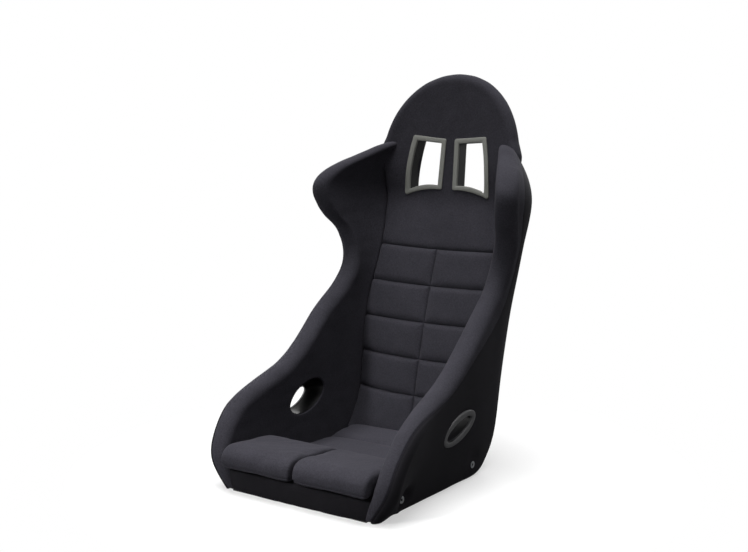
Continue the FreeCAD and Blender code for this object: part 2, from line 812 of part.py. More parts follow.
lumbar_place = between("lumbar", "waist", size("lumbar_tube_share"))
shoulder_place = between("wing_low", "wing_tip", size("shoulder_tube_share"))
base_height = size("base_tube_height")
base_places = {
    "front_cross_tube": Vector(0, size("front_tube_y"), base_height),
    "rear_cross_tube": Vector(0, size("rear_tube_y"), base_height),
}
back_places = {"lumbar_cross_tube": lumbar_place, "shoulder_cross_tube": shoulder_place}
rear_place = base_places["rear_cross_tube"]
rear_bar = cross_bar(cross, plate_x, rear_place.y, rear_place.z)
hoop = tube_along(hoop_path, tube, size("hoop_wall")).cut(rear_bar)
kept.append(feature("back_hoop", hoop))
for name, place in base_places.items():
    bar = cross_bar(cross, plate_x, place.y, place.z)
    kept.append(feature(name, bar.cut(cross_bar(cross - size("tube_wall"), plate_x, place.y, place.z))))
for name, place in back_places.items():
    half = size("hoop_half_width")
    bar = cross_bar(cross, half, place.y, place.z)
    bar = bar.cut(cross_bar(cross - size("tube_wall"), half, place.y, place.z))
    kept.append(feature(name, bar.cut(hoop_bar)))

pan = outline_body(
    "seat_pan",
    "XY_Plane",
    [
        ("-pan_half_width", "pan_front_y"),
        ("pan_half_width", "pan_front_y"),
        ("pan_half_width", "pan_rear_y"),
        ("-pan_half_width", "pan_rear_y"),
    ],
    "pan_thickness",
    midplane=False,
)
pan.setExpression("Placement.Base.z", bound("cover_thickness + piece_gap"))
kept.append(pan)

# Side mounting: a steel plate in each side with two threaded bushes that reach the cover
plate = outline_body(
    "mount_plate_blank",
    "YZ_Plane",
    [
        ("plate_front_y", "plate_low_z"),
        ("plate_rear_y - plate_corner", "plate_low_z"),
        ("plate_rear_y", "plate_low_z + plate_corner"),
        ("plate_rear_y", "plate_high_z - plate_corner"),
        ("plate_rear_y - plate_corner", "plate_high_z"),
        ("plate_front_y + plate_corner", "plate_high_z"),
        ("plate_front_y", "plate_high_z - plate_corner"),
    ],
    "plate_thickness",
    midplane=False,
)
plate.setExpression("Placement.Base.x", bound("plate_inner_x"))


def bush_bars(name, radius, start, length):
    """A bar at each of the side's two mounting bushes."""
    ends = (("front", "bush_front_y"), ("rear", "bush_front_y + bush_spacing"))
    return [bar_across(f"{name}_{end}", radius, length, (start, y, "bush_height")) for end, y in ends]


bush_length = "bush_face_x - plate_inner_x"
plate_holes = bush_bars("plate_hole", "bush_radius + weld_gap", "plate_inner_x - piece_gap", bush_length)
mount_plate = cut_away("mount_plate_left", plate, plate_holes)
kept += [mount_plate, mirrored("mount_plate_right", mount_plate)]
bores = bush_bars("bush_bore", "bush_bore_radius", "plate_inner_x", bush_length)
bush_blanks = bush_bars("bush_blank", "bush_radius", "plate_inner_x", bush_length)
for side, mirror in (("left", False), ("right", True)):
    pair = []
    for end, blank, bore in zip(("front", "rear"), bush_blanks, bores):
        bush = cut_away(f"bush_{side}_{end}", blank, [bore])
        pair.append(mirrored(f"bush_mirror_{end}", bush) if mirror else bush)
    group = doc.addObject("Part::Compound", f"mount_bushes_{side}")
    group.Label = f"mount_bushes_{side}"
    group.Links = pair
    kept.append(group)

# Clearance shapes that the foam and the covers are cut by
rim_channel = bar_along(rim_points, tube + gap)
hoop_channel = bar_along(hoop_path, tube + gap)
cross_channels = [
    cross_bar(cross + gap, plate_x, place.y, place.z)
    for place in list(base_places.values()) + list(back_places.values())
]
plate_pocket = Part.makeBox(
    size("plate_thickness") + 2 * gap,
    size("plate_rear_y") - size("plate_front_y") + 2 * gap,
    size("plate_high_z") - size("plate_low_z") + 2 * gap,
    Vector(plate_x - gap, size("plate_front_y") - gap, size("plate_low_z") - gap),
)
bush_channels = [
    Part.makeCylinder(
        size("bush_radius") + gap,
        size("bush_face_x") - plate_x + reach,
        Vector(plate_x - gap, size("bush_front_y") + offset, size("bush_height")),
        Vector(1, 0, 0),
    )
    for offset in (0, size("bush_spacing"))
]
lap_in, lap_out = size("lap_slot_inner_x"), size("lap_slot_outer_x")
lap_wall = size("lap_slot_sleeve_wall")
lap_hole = lap_block(lap_wall + gap, lap_in - reach, lap_out + reach)

# Side foam and covers: each foam is cut back from its covers where it would reach them
foam_inset = size("cover_thickness") + size("cover_gap")
bolster_cover = side_loft(BOLSTER, front_cover_steps).cut([lap_hole, cross_channels[0], plate_pocket])
wing_cover = side_loft(WING, front_cover_steps).cut(rim_channel)
side_cover = side_loft(BOLSTER, side_cover_steps).cut([lap_hole, hoop_channel] + bush_channels)
wing_back = side_loft(WING, side_cover_steps)
bolster_tools = [rim_channel, hoop_channel, plate_pocket, lap_hole] + bush_channels + cross_channels
bolster_foam = side_loft(BOLSTER, foam_steps, foam_inset).cut(bolster_tools + [bolster_cover, side_cover])
wing_tools = [rim_channel, hoop_channel, cross_channels[-1], wing_cover, wing_back]
wing_foam = side_loft(WING, foam_steps, foam_inset).cut(wing_tools)
bolster_foam = feature("bolster_foam_left", largest(bolster_foam))
wing_foam = feature("wing_foam_left", largest(wing_foam))
bolster_cover = feature("bolster_cover_left", bolster_cover)
wing_cover = feature("wing_cover_left", wing_cover)
side_cover = feature("side_cover_left", side_cover)
wing_back = feature("wing_side_cover_left", wing_back)
both_sides = {}
for piece in (bolster_foam, wing_foam, bolster_cover, wing_cover, side_cover, wing_back):
    both_sides[piece.Label] = [piece, mirrored(piece.Label.replace("left", "right"), piece)]
    kept += both_sides[piece.Label]
wing_backs = both_sides["wing_side_cover_left"]

# Back foam, quilted pad and rear cover between the side walls
cover, air = "cover_thickness", "piece_gap"
width = "2 * middle_half_width"


def back_curve(depth, foot):
    """The shell's back line, a depth inside it, from one section up to the head plate's foot."""
    places = shell_places(foot, "loin", 0, depth)
    places.append(in_head(0, 0, size("head_thickness") - depth))
    curve = Part.BSplineCurve()
    curve.interpolate(places)
    return curve.toShape(), places[0], places[-1]


def across(edges):
    """A prism across the seat with its outline in the middle plane."""
    half = size("middle_half_width")
    face = Part.Face(Part.Wire(edges))
    face.translate(Vector(-half, 0, 0))
    return face.extrude(Vector(2 * half, 0, 0))


def chain(points):
    """Straight edges through a row of points."""
    return [Part.makeLine(start, end) for start, end in zip(points, points[1:])]


line, normals = pad_line(), pad_normals()
pad_back = [place - normal * (size("quilt_depth") + gap) for place, normal in zip(line, normals)]
pad_rise = (line[1] - line[0]).normalize() * gap
ledge = [line[0] - pad_rise, pad_back[0] - pad_rise]
heel = Vector(0, ledge[0].y, size("base_flat_z") + gap)
back_edge, back_foot, back_top = back_curve(foam_inset, "tail")
front_edges = chain([back_foot, heel] + ledge + pad_back[1:] + [back_top])
back_tools = cross_channels[2:] + [hoop_channel]
back_foam = feature("back_foam_blank", across(front_edges + [back_edge]).cut(back_tools))
kept.append(cut_away("back_foam", back_foam, side_spaces + wing_spaces + wing_backs))
quilt = feature("quilt_blank", quilt_block())
kept.append(cut_away("quilted_pad", quilt, side_spaces + wing_spaces))
outer_edge, outer_foot, outer_top = back_curve(0, "hip")
inner_edge, inner_foot, inner_top = back_curve(size("cover_thickness"), "hip")
rear_edges = [outer_edge] + chain([outer_top, inner_top]) + [inner_edge] + chain([inner_foot, outer_foot])
rear_cover = feature("rear_cover_blank", across(rear_edges))
kept.append(cut_away("rear_cover", rear_cover, side_spaces + wing_spaces + wing_backs))

# Head and shoulder foam with its cover, pierced by the two shoulder slots
sleeve_inset = size("slot_frame_width") - size("slot_sleeve_wall")
thick = size("head_thickness")
slot_hole = feature("slot_hole", slot_block(sleeve_inset - gap, reach, -thick - reach))
slot_holes = [slot_hole, mirrored("slot_hole_right", slot_hole)]
hoop_space = feature("hoop_space", hoop_channel)
head_foam = feature("head_foam_blank", head_block(foam_inset))
rim_space = feature("rim_space", rim_channel)
rim_spaces = [rim_space, mirrored("rim_space_right", rim_space)]
kept.append(cut_away("head_foam", head_foam, wing_spaces + slot_holes + [hoop_space] + rim_spaces))
head_core = head_block(size("cover_thickness"), margin)
head_cover = feature("head_cover_blank", head_block(0).cut(head_core))
kept.append(cut_away("head_cover", head_cover, wing_spaces + slot_holes + rim_spaces))

# Shoulder slot trims: a frame on the front, a sleeve through the foam, and a frame behind
ring = size("slot_frame_width")
proud = size("slot_frame_height")
opening = slot_block(ring, reach, -thick - reach)
trims = {
    "shoulder_frame": slot_block(0, proud, 0),
    "shoulder_sleeve": slot_block(sleeve_inset, 0, -thick),
    "shoulder_rear_frame": slot_block(0, -thick, -thick - proud),
}
for name, block in trims.items():
    trim = feature(f"{name}_left", block.cut(opening))
    kept += [trim, mirrored(f"{name}_right", trim)]

# Lap slot trims: an oval sleeve through the wall and a ring on the outside
lap_ring = size("lap_slot_ring_width")
ring_depth = size("lap_slot_ring_thickness")
sleeve = lap_block(lap_wall, lap_in, lap_out).cut(lap_block(0, lap_in - gap, lap_out + gap))
outer_ring = lap_block(lap_ring, lap_out, lap_out + ring_depth, size("lap_slot_lean"), size("lap_slot_yaw"))
outer_ring = outer_ring.cut(lap_block(lap_wall + gap, lap_out - reach, lap_out + reach))
for name, shape in (("lap_sleeve", sleeve), ("lap_ring", outer_ring)):
    trim = feature(f"{name}_left", shape)
    kept += [trim, mirrored(f"{name}_right", trim)]

# Base: cover on the floor, foam wedge with an upturned heel, and the front lip
left_edge = [
    (f"toe_rim_x - toe_lip - {air}", "base_cover_front_y"),
    (f"toe_rim_x - toe_lip - {air}", "toe_foot_y - toe_crease_rise"),
]
left_edge += [(f"{name}_crease_x - {air}", f"{name}_foot_y") for name in BASE_LINE]
left_edge.append((f"hip_crease_x - {air}", f"hip_foot_y - {air}"))
right_edge = [(f"-({x})", y) for x, y in reversed(left_edge)]
kept.append(outline_body("base_cover", "XY_Plane", left_edge + right_edge, cover, midplane=False))
foam_floor = f"{cover} + 2 * {air} + pan_thickness"
base_foam = outline_body(
    "base_foam_blank",
    "YZ_Plane",
    [
        ("base_front_y", foam_floor),
        ("hip_foot_y", foam_floor),
        ("base_flat_rear_y", f"base_flat_z - {cover}"),
        ("base_flat_rear_y", "base_flat_z"),
        ("base_flat_y", "base_flat_z"),
        ("base_wedge_rear_y", "base_wedge_rear_z"),
        ("base_front_y", "base_wedge_z"),
    ],
    width,
)
base_channels = [feature(f"base_channel_{n}", channel) for n, channel in enumerate(cross_channels[:2])]
kept.append(cut_away("base_foam", base_foam, side_spaces + base_channels + [hoop_space]))
lip_foam = outline_body(
    "front_lip_blank",
    "YZ_Plane",
    [
        (f"base_front_y - {air}", f"{cover} + {air}"),
        (f"base_front_y - {air}", f"lip_top_z - {cover} - {air}"),
        (f"lip_front_y + lip_bevel + {air}", f"lip_top_z - {cover} - {air}"),
        (f"lip_front_y + {cover} + {air}", f"lip_top_z - lip_bevel - {air}"),
        (f"lip_front_y + {cover} + {air}", f"lip_bevel + {cover}"),
        (f"base_cover_front_y + {air}", f"{cover} + {air}"),
    ],
    width,
)
kept.append(cut_away("front_lip_foam", lip_foam, side_spaces))
lip_cover = outline_body(
    "front_lip_cover_blank",
    "YZ_Plane",
    [
        (f"base_cover_front_y - {air}", "lip_foot_z"),
        ("lip_front_y", "lip_bevel"),
        ("lip_front_y", "lip_top_z - lip_bevel"),
        ("lip_front_y + lip_bevel", "lip_top_z"),
        (f"base_front_y - {air}", "lip_top_z"),
        (f"base_front_y - {air}", f"lip_top_z - {cover}"),
        (f"lip_front_y + lip_bevel + {air}", f"lip_top_z - {cover}"),
        (f"lip_front_y + {cover}", f"lip_top_z - lip_bevel - {air}"),
        (f"lip_front_y + {cover}", f"lip_bevel + {air}"),
        (f"base_cover_front_y - {air}", f"{cover} + {air}"),
    ],
    width,
)
kept.append(cut_away("front_lip_cover", lip_cover, side_spaces))

# Hook and loop strips that hold the cushion
for name, height in (
    ("loop_strips", "base_flat_z"),
    ("hook_strips", "cushion_floor_z - strip_thickness"),
):
    strips = []
    for end in ("front", "rear"):
        strip = doc.addObject("Part::Box", f"{name}_{end}")
        strip.setExpression("Length", bound("strip_length"))
        strip.setExpression("Width", bound("strip_width"))
        strip.setExpression("Height", bound("strip_thickness"))
        strip.setExpression("Placement.Base.x", bound("-strip_length / 2"))
        strip.setExpression("Placement.Base.y", bound(f"strip_{end}_y - strip_width / 2"))
        strip.setExpression("Placement.Base.z", bound(height))
        strips.append(strip)
    group = doc.addObject("Part::Compound", name)
    group.Label = name
    group.Links = strips
    kept.append(group)

# Lift-out cushion
cushion = feature("seat_cushion_blank", cushion_block())
kept.append(cut_away("seat_cushion", cushion, cushion_spaces))
thigh = feature("thigh_pad_blank", thigh_block())
thigh_pad = cut_away("thigh_pad_left", thigh, cushion_spaces[:1])
kept += [thigh_pad, mirrored("thigh_pad_right", thigh_pad)]

doc.recompute()

for item in doc.Objects:
    if "Invalid" in item.State or "Error" in item.State:
        raise RuntimeError(f"{item.Label} did not build: {item.State}")
labels = [piece.Label for piece in kept]
if len(set(labels)) != len(labels):
    raise RuntimeError("two pieces share one name")
for piece in kept:
    if piece.Shape.isNull() or not piece.Shape.isValid() or not piece.Shape.Solids:
        raise RuntimeError(f"{piece.Label} has no valid solid")

os.makedirs("parts", exist_ok=True)
for piece in kept:
    piece.Shape.exportStep(f"parts/{piece.Label}.step")
    print(piece.Label, len(piece.Shape.Solids), round(piece.Shape.Volume / 1000, 1), "cm3")
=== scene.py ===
# %% [markdown]
# # A racing bucket seat, dressed in cloth
#
# The real seat is a bent tube frame in moulded foam, and what the eye meets is the cloth: a charcoal
# velour where the driver touches it, a plain black cloth down the sides and behind, whose dark colour is
# partly the cloth's own and partly painted shade, satin frames round the belt slots and a cushion that
# lifts out. The imported model gives the frame, the bodies and every place. This script works out the
# cloth as surfaces, one piece at a time.
# %% Load the frame
import json
import math

import bpy
import mathutils
import numpy as np
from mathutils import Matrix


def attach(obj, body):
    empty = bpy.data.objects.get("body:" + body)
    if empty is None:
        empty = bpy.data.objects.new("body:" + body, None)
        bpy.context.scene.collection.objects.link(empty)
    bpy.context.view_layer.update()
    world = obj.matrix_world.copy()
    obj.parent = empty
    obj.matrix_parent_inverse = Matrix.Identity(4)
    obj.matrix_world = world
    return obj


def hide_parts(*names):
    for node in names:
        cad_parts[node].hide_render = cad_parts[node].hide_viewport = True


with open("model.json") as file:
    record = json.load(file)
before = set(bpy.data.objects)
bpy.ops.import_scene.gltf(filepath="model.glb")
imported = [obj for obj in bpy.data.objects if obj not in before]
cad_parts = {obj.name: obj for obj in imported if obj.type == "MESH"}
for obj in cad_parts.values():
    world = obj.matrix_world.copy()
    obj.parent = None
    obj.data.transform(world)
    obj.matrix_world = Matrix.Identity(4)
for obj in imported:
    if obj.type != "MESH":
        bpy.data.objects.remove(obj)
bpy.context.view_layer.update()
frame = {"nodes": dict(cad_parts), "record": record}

MM = 0.001

# %% [markdown]
# ## The camera first
#
# The photograph looks down a little, from the seat's front left. A long lens keeps the back's edges
# nearly parallel, so the camera stands well away. The scene is lit like a product photograph: one large
# soft light overhead, very little from the sides, and a white room all round.
# %% Camera
CAMERA_PLACE = (1.54, -2.255, 0.872)
CAMERA_TILT = 81.24
CAMERA_TURN = 34.7
CAMERA_LENS = 58.7

camera = bpy.data.objects.new("camera", bpy.data.cameras.new("camera"))
camera.data.lens = CAMERA_LENS
camera.location = CAMERA_PLACE
camera.rotation_euler = (math.radians(CAMERA_TILT), 0, math.radians(CAMERA_TURN))
bpy.context.scene.collection.objects.link(camera)
bpy.context.scene.camera = camera
bpy.context.scene.view_settings.view_transform = "Standard"
print("camera at", CAMERA_PLACE, "lens", CAMERA_LENS)

# %% [markdown]
# ## Colours and nodes
#
# A colour is easiest to think of as it looks on a screen, in sRGB, but a shader adds up light, which is
# linear. One function turns the written hex value into what the shader needs. One more adds a node,
# sets it and links it, so that a material reads as a list of what it is made of.
# %% Colour and node helpers
def tone(hex_value):
    """An sRGB hex value as linear red, green, blue and alpha: the sRGB curve undone for each channel."""
    channels = np.array([int(hex_value[place:place + 2], 16) for place in (1, 3, 5)]) / 255
    linear = np.where(channels <= 0.04045, channels / 12.92, ((channels + 0.055) / 1.055) ** 2.4)
    return (*linear.tolist(), 1.0)


def add(tree, kind, inputs=None, links=None, **settings):
    """One node of a kind, with its settings, its sockets' values and links from (node, output) pairs."""
    made = tree.nodes.new(kind)
    for name, value in settings.items():
        setattr(made, name, value)
    for name, value in (inputs or {}).items():
        made.inputs[name].default_value = value
    for name, (source, output) in (links or {}).items():
        tree.links.new(source.outputs[output], made.inputs[name])
    return made


def blank(name, **inputs):
    """A new material's tree, its shader with those inputs, and the place on the piece in metres."""
    material = bpy.data.materials.new(name)
    material.use_nodes = True
    tree = material.node_tree
    tree.nodes.clear()
    place = add(tree, "ShaderNodeTexCoord")
    shader = add(tree, "ShaderNodeBsdfPrincipled", inputs={
        name.replace("_", " "): value for name, value in inputs.items()
    })
    add(tree, "ShaderNodeOutputMaterial", links={"Surface": (shader, "BSDF")})
    return material, tree, shader, place


def per_metre(size_mm):
    """How many of a pattern's cells of that size in millimetres lie along a metre."""
    return 1 / (size_mm * MM)


print("helpers ready: white is", tone("#ffffff"))

# %% [markdown]
# ## Velour
#
# The touched faces are a knitted polyester velour: a short upright pile, charcoal with a breath of
# violet. Pile scatters light back at a grazing angle, which is why the rolls read lighter than the
# walls: that is the sheen. Its fibres lie in soft clumps, a little lighter and darker, and its nap is
# too fine to see at a step away, so it is drawn as coarse as it needs to show.
# %% Velour
PILE_MM = 1.2
CLUMP_MM = 3.2
NAP_MM = 55.0
PILE_SHARE = 0.62

velour, tree, shader, place = blank(
    "knitted_velour", Roughness=0.95, IOR=1.5, Specular_IOR_Level=0.1,
    Sheen_Weight=0.05, Sheen_Roughness=0.45, Sheen_Tint=tone("#b4b2bb"),
)
pile = add(tree, "ShaderNodeTexNoise", {"Scale": per_metre(PILE_MM), "Detail": 3.0, "Roughness": 0.65},
           {"Vector": (place, "Object")})
clump = add(tree, "ShaderNodeTexNoise", {"Scale": per_metre(CLUMP_MM), "Detail": 2.0},
            {"Vector": (place, "Object")})
nap = add(tree, "ShaderNodeTexNoise", {"Scale": per_metre(NAP_MM), "Detail": 2.0},
          {"Vector": (place, "Object")})
fibres = add(tree, "ShaderNodeMath", {1: PILE_SHARE}, {0: (pile, "Fac")}, operation="MULTIPLY")
fibres = add(tree, "ShaderNodeMath", {1: 1 - PILE_SHARE}, {0: (clump, "Fac"), 2: (fibres, 0)},
             operation="MULTIPLY_ADD")
grain = add(tree, "ShaderNodeValToRGB", None, {"Fac": (fibres, 0)})
grain.color_ramp.elements[0].position, grain.color_ramp.elements[0].color = 0.34, tone("#2a292e")
grain.color_ramp.elements[1].position, grain.color_ramp.elements[1].color = 0.68, tone("#3c3b42")
shade = add(tree, "ShaderNodeMapRange", {"From Min": 0.3, "From Max": 0.7, "To Min": 0.93, "To Max": 1.06},
            {"Value": (nap, "Fac")})
add(tree, "ShaderNodeHueSaturation", None, {"Color": (grain, "Color"), "Value": (shade, "Result")})
tree.links.new(tree.nodes[-1].outputs["Color"], shader.inputs["Base Color"])
relief = add(tree, "ShaderNodeBump", {"Strength": 0.55, "Distance": 0.5 * MM}, {"Height": (fibres, 0)})
tree.links.new(relief.outputs["Normal"], shader.inputs["Normal"])
print("velour pile drawn at", PILE_MM, "mm")

# %% [markdown]
# ## Side cloth, steel, mouldings and foam
#
# The sides and the back wear a smooth black stretch cloth: flatter, with next to no sheen, and darker,
# partly by the cloth's own colour and partly as painted shade for panels that face away from the lamps.
# The slot frames are satin ABS, the sleeves the same plastic left glossy, the bushes are zinc plated,
# the base is a grained vinyl, and under it all are painted tube and moulded foam.
# %% Side cloth
THREAD_MM = 1.1
DRIFT_MM = 70.0

side_cloth, tree, shader, place = blank(
    "stretch_cloth_and_painted_shade", Roughness=0.9, IOR=1.5, Specular_IOR_Level=0.1,
    Sheen_Weight=0.06, Sheen_Roughness=0.5, Sheen_Tint=tone("#a5a5ad"),
)
knit = add(tree, "ShaderNodeTexVoronoi", {"Scale": per_metre(THREAD_MM)}, {"Vector": (place, "Object")})
drift = add(tree, "ShaderNodeTexNoise", {"Scale": per_metre(DRIFT_MM), "Detail": 2.0},
            {"Vector": (place, "Object")})
# The ramp's two colours are the cloth's own black made darker still as painted shade: the sides and back turn
# away from the light.
tone_and_painted_shade = add(tree, "ShaderNodeValToRGB", None, {"Fac": (knit, "Distance")})
tone_and_painted_shade.color_ramp.elements[0].color = tone("#1c1b1f")
tone_and_painted_shade.color_ramp.elements[1].color = tone("#131215")
shade = add(tree, "ShaderNodeMapRange", {"From Min": 0.3, "From Max": 0.7, "To Min": 0.85, "To Max": 1.15},
            {"Value": (drift, "Fac")})
add(tree, "ShaderNodeHueSaturation", None, {"Color": (tone_and_painted_shade, "Color"), "Value": (shade, "Result")})
tree.links.new(tree.nodes[-1].outputs["Color"], shader.inputs["Base Color"])
relief = add(tree, "ShaderNodeBump", {"Strength": 0.35, "Distance": 0.2 * MM}, {"Height": (knit, "Distance")})
relief.invert = True
tree.links.new(relief.outputs["Normal"], shader.inputs["Normal"])
print("side cloth's thread drawn at", THREAD_MM, "mm")

# %% [markdown]
# The other finishes differ only in colour, grain and gloss, so one function makes them all.
# %% Mouldings, metals, vinyl and foam
def grained(name, light, deep, grain_mm, relief_mm, **inputs):
    """A plain finish with a fine grain: noise of one size moves the colour and lifts the surface."""
    material, tree, shader, place = blank(name, **inputs)
    grit = add(tree, "ShaderNodeTexNoise", {"Scale": per_metre(grain_mm), "Detail": 4.0},
               {"Vector": (place, "Object")})
    ramp = add(tree, "ShaderNodeValToRGB", None, {"Fac": (grit, "Fac")})
    ramp.color_ramp.elements[0].position, ramp.color_ramp.elements[0].color = 0.35, tone(deep)
    ramp.color_ramp.elements[1].position, ramp.color_ramp.elements[1].color = 0.65, tone(light)
    tree.links.new(ramp.outputs["Color"], shader.inputs["Base Color"])
    relief = add(tree, "ShaderNodeBump", {"Strength": 0.6, "Distance": relief_mm * MM},
                 {"Height": (grit, "Fac")})
    tree.links.new(relief.outputs["Normal"], shader.inputs["Normal"])
    return material


satin_frame = grained("satin_abs_grey", "#7a7b75", "#6e6f6a", 0.9, 0.06, Roughness=0.5, IOR=1.53)
satin_ring = grained("satin_abs_black", "#454547", "#3d3d3f", 0.9, 0.06, Roughness=0.46, IOR=1.53)
gloss_liner = grained("gloss_abs_black", "#0b0b0c", "#080809", 12.0, 0.02, Roughness=0.36, IOR=1.53,
                      Specular_IOR_Level=0.15)
zinc_plate = grained("zinc_plated_steel", "#b6b9bb", "#9ea2a6", 1.5, 0.03, Metallic=1.0, Roughness=0.34)
painted_steel = grained("black_painted_tube", "#1d1e20", "#17181a", 2.0, 0.05, Roughness=0.38, IOR=1.5)
base_vinyl = grained("grained_vinyl", "#1a1a1b", "#111112", 1.4, 0.25, Roughness=0.6, IOR=1.5)
bare_foam = grained("moulded_foam", "#4b4a47", "#3b3a38", 1.8, 0.5, Roughness=0.95, IOR=1.45)
hook_tape = grained("hook_and_loop_tape", "#1c1c1e", "#0c0c0d", 0.8, 0.6, Roughness=0.9, IOR=1.5)
print("finishes", sorted(material.name for material in bpy.data.materials))

# %% [markdown]
# ## The side walls as one surface
#
# Each side of the seat is one long padded wall that starts as a roll at the toe, climbs along the thigh
# and the hip, stands up beside the back and ends as the shoulder wing. Twenty cuts across it say how
# it looks at the named places. A cut lies in the plane that holds the seat's width and the line from the
# wall's foot to the middle of its rolled lip. Sizes between the named cuts follow a smooth cubic.
# %% Named cuts across a side wall
CUT_SIZES = (
    "foot_y", "foot_z", "rim_x", "rim_y", "rim_z", "crease_x", "crease_rise", "outer_x", "bulge", "lip",
)
CUTS = {
    "toe": (-248, 1.2, 186, -301, 1.2, 181, 12, 194, 2, 19),
    "shin": (-241, 1.2, 218, -307, 50, 187, 15, 204, 2, 26),
    "knee": (-231, 1.2, 226, -291, 103, 188, 20, 203, 3, 27),
    "lap": (-210, 1.2, 228, -245, 159, 188, 22, 203, 3, 27),
    "thigh": (-155, 1.2, 219, -170, 192, 187, 22, 205, 3, 27),
    "flank": (-80, 1.2, 213, -90, 222, 182, 22, 206, 3, 27),
    "belt": (-5, 1.2, 212, -24, 264, 178, 22, 206, 3, 27),
    "hip": (84, 1.2, 212, 47, 327, 174, 30, 206, 3, 27),
    "tail": (132, 27, 208, 105, 370, 168, 70, 203, 4, 27),
    "curl": (170, 74, 207, 121, 382, 170, 90, 202, 4, 27),
    "rump": (195, 175, 207, 137, 395, 172, 107, 200, 5, 27),
    "lumbar": (232, 311, 206, 166, 427, 172, 76, 198, 5, 27),
    "waist": (267, 418, 211, 183, 476, 162, 59, 197, 7, 27),
    "loin": (297, 510, 226, 173, 533, 162, 56, 195, 10, 27),
    "wing_low": (314, 560, 242, 140, 569, 168, 56, 196, 15, 27),
    "wing_tip": (325, 607, 255, 115, 632, 175, 46, 197, 19, 27),
    "wing_top": (330, 648, 236, 154, 676, 176, 46, 193, 12, 27),
    "neck_low": (334, 683, 197, 228, 708, 162, 46, 181, 2, 25),
    "neck": (331, 705, 165, 277, 730, 146, 42, 165, 3, 18.5),
    "buried": (326, 738, 150, 305, 739, 134, 22, 156, 2, 12),
}
STEPS_PER_CUT = 32
FAIRING_STEPS = 9


def fair(values, width):
    """Rows smoothed by a bell-shaped mean along the first axis, the two ends held in place."""
    reach = 3 * width
    bell = np.exp(-0.5 * (np.arange(-reach, reach + 1) / width) ** 2)
    bell /= bell.sum()
    before = 2 * values[0] - values[reach:0:-1]
    after = 2 * values[-1] - values[-2:-reach - 2:-1]
    padded = np.concatenate([before, values, after])
    return np.stack([np.convolve(column, bell, "valid") for column in padded.T], axis=1)


def cuts_between():
    """Cut sizes at fine steps: a cubic through the four nearest named cuts, then smoothed."""
    table = np.array(list(CUTS.values()), float)
    last = len(table) - 1
    places = np.arange(last * STEPS_PER_CUT + 1) / STEPS_PER_CUT
    start = np.minimum(places.astype(int), last - 1)
    share = (places - start)[:, None]
    p0, p1, p2, p3 = (table[np.clip(start + step, 0, last)] for step in (-1, 0, 1, 2))
    cubic = 0.5 * (2 * p1 + (p2 - p0) * share + (2 * p0 - 5 * p1 + 4 * p2 - p3) * share ** 2
                   + (3 * p1 - p0 - 3 * p2 + p3) * share ** 3)
    return places, fair(cubic, FAIRING_STEPS)


CUT_PLACES, CUT_VALUES = cuts_between()
CUT_NUMBER = {name: number for number, name in enumerate(CUTS)}


def cut(name, along):
    """One size of the cuts at places along the wall, counted in named cuts from the toe."""
    return np.interp(along, CUT_PLACES, CUT_VALUES[:, CUT_SIZES.index(name)])


print("cuts", len(CUTS), "fine steps", len(CUT_PLACES))

# %% [markdown]
# Round each cut the cloth runs in five stretches: a tuck below the crease, the hollow inner wall, the
# lip's arc, the bulging outer wall, and a soft corner with a flap back to the foot. A place on the wall
# is then two numbers: how far along, and how far round. That makes the whole wall one function, which
# gives every panel, seam and opening on it.
# %% The wall function
TUCK, CREASE, LIP, OUTER, CORNER, FLAP, HEEL = -1, 0, 1, 2, 3, 4, 5
LIP_CREST = 1.5
TUCK_DEPTH = 16
WALL_HOLLOW = -4
CORNER_ROUND = 8
CORNER_SHARE = 0.25


def bow(start, end, sagitta, share):
    """A place on a shallow arc from start to end: the chord, plus the sagitta's parabola square to it."""
    chord = end - start
    square = np.stack([-chord[..., 1], chord[..., 0]], -1)
    square /= np.linalg.norm(square, axis=-1, keepdims=True)
    lift = (4 * sagitta * share * (1 - share))[..., None]
    return start + chord * share[..., None] + square * lift


def touch_angle(corner, centre, radius, side):
    """The angle on the lip's circle at which a straight wall from a corner touches it."""
    away = corner - centre
    turn = np.arccos(radius / np.linalg.norm(away, axis=-1))
    return np.arctan2(away[..., 1], away[..., 0]) + side * turn


def pair(out, rise):
    """Two arrays as one array of (out, rise) pairs."""
    return np.stack(np.broadcast_arrays(out, rise), -1).astype(float)


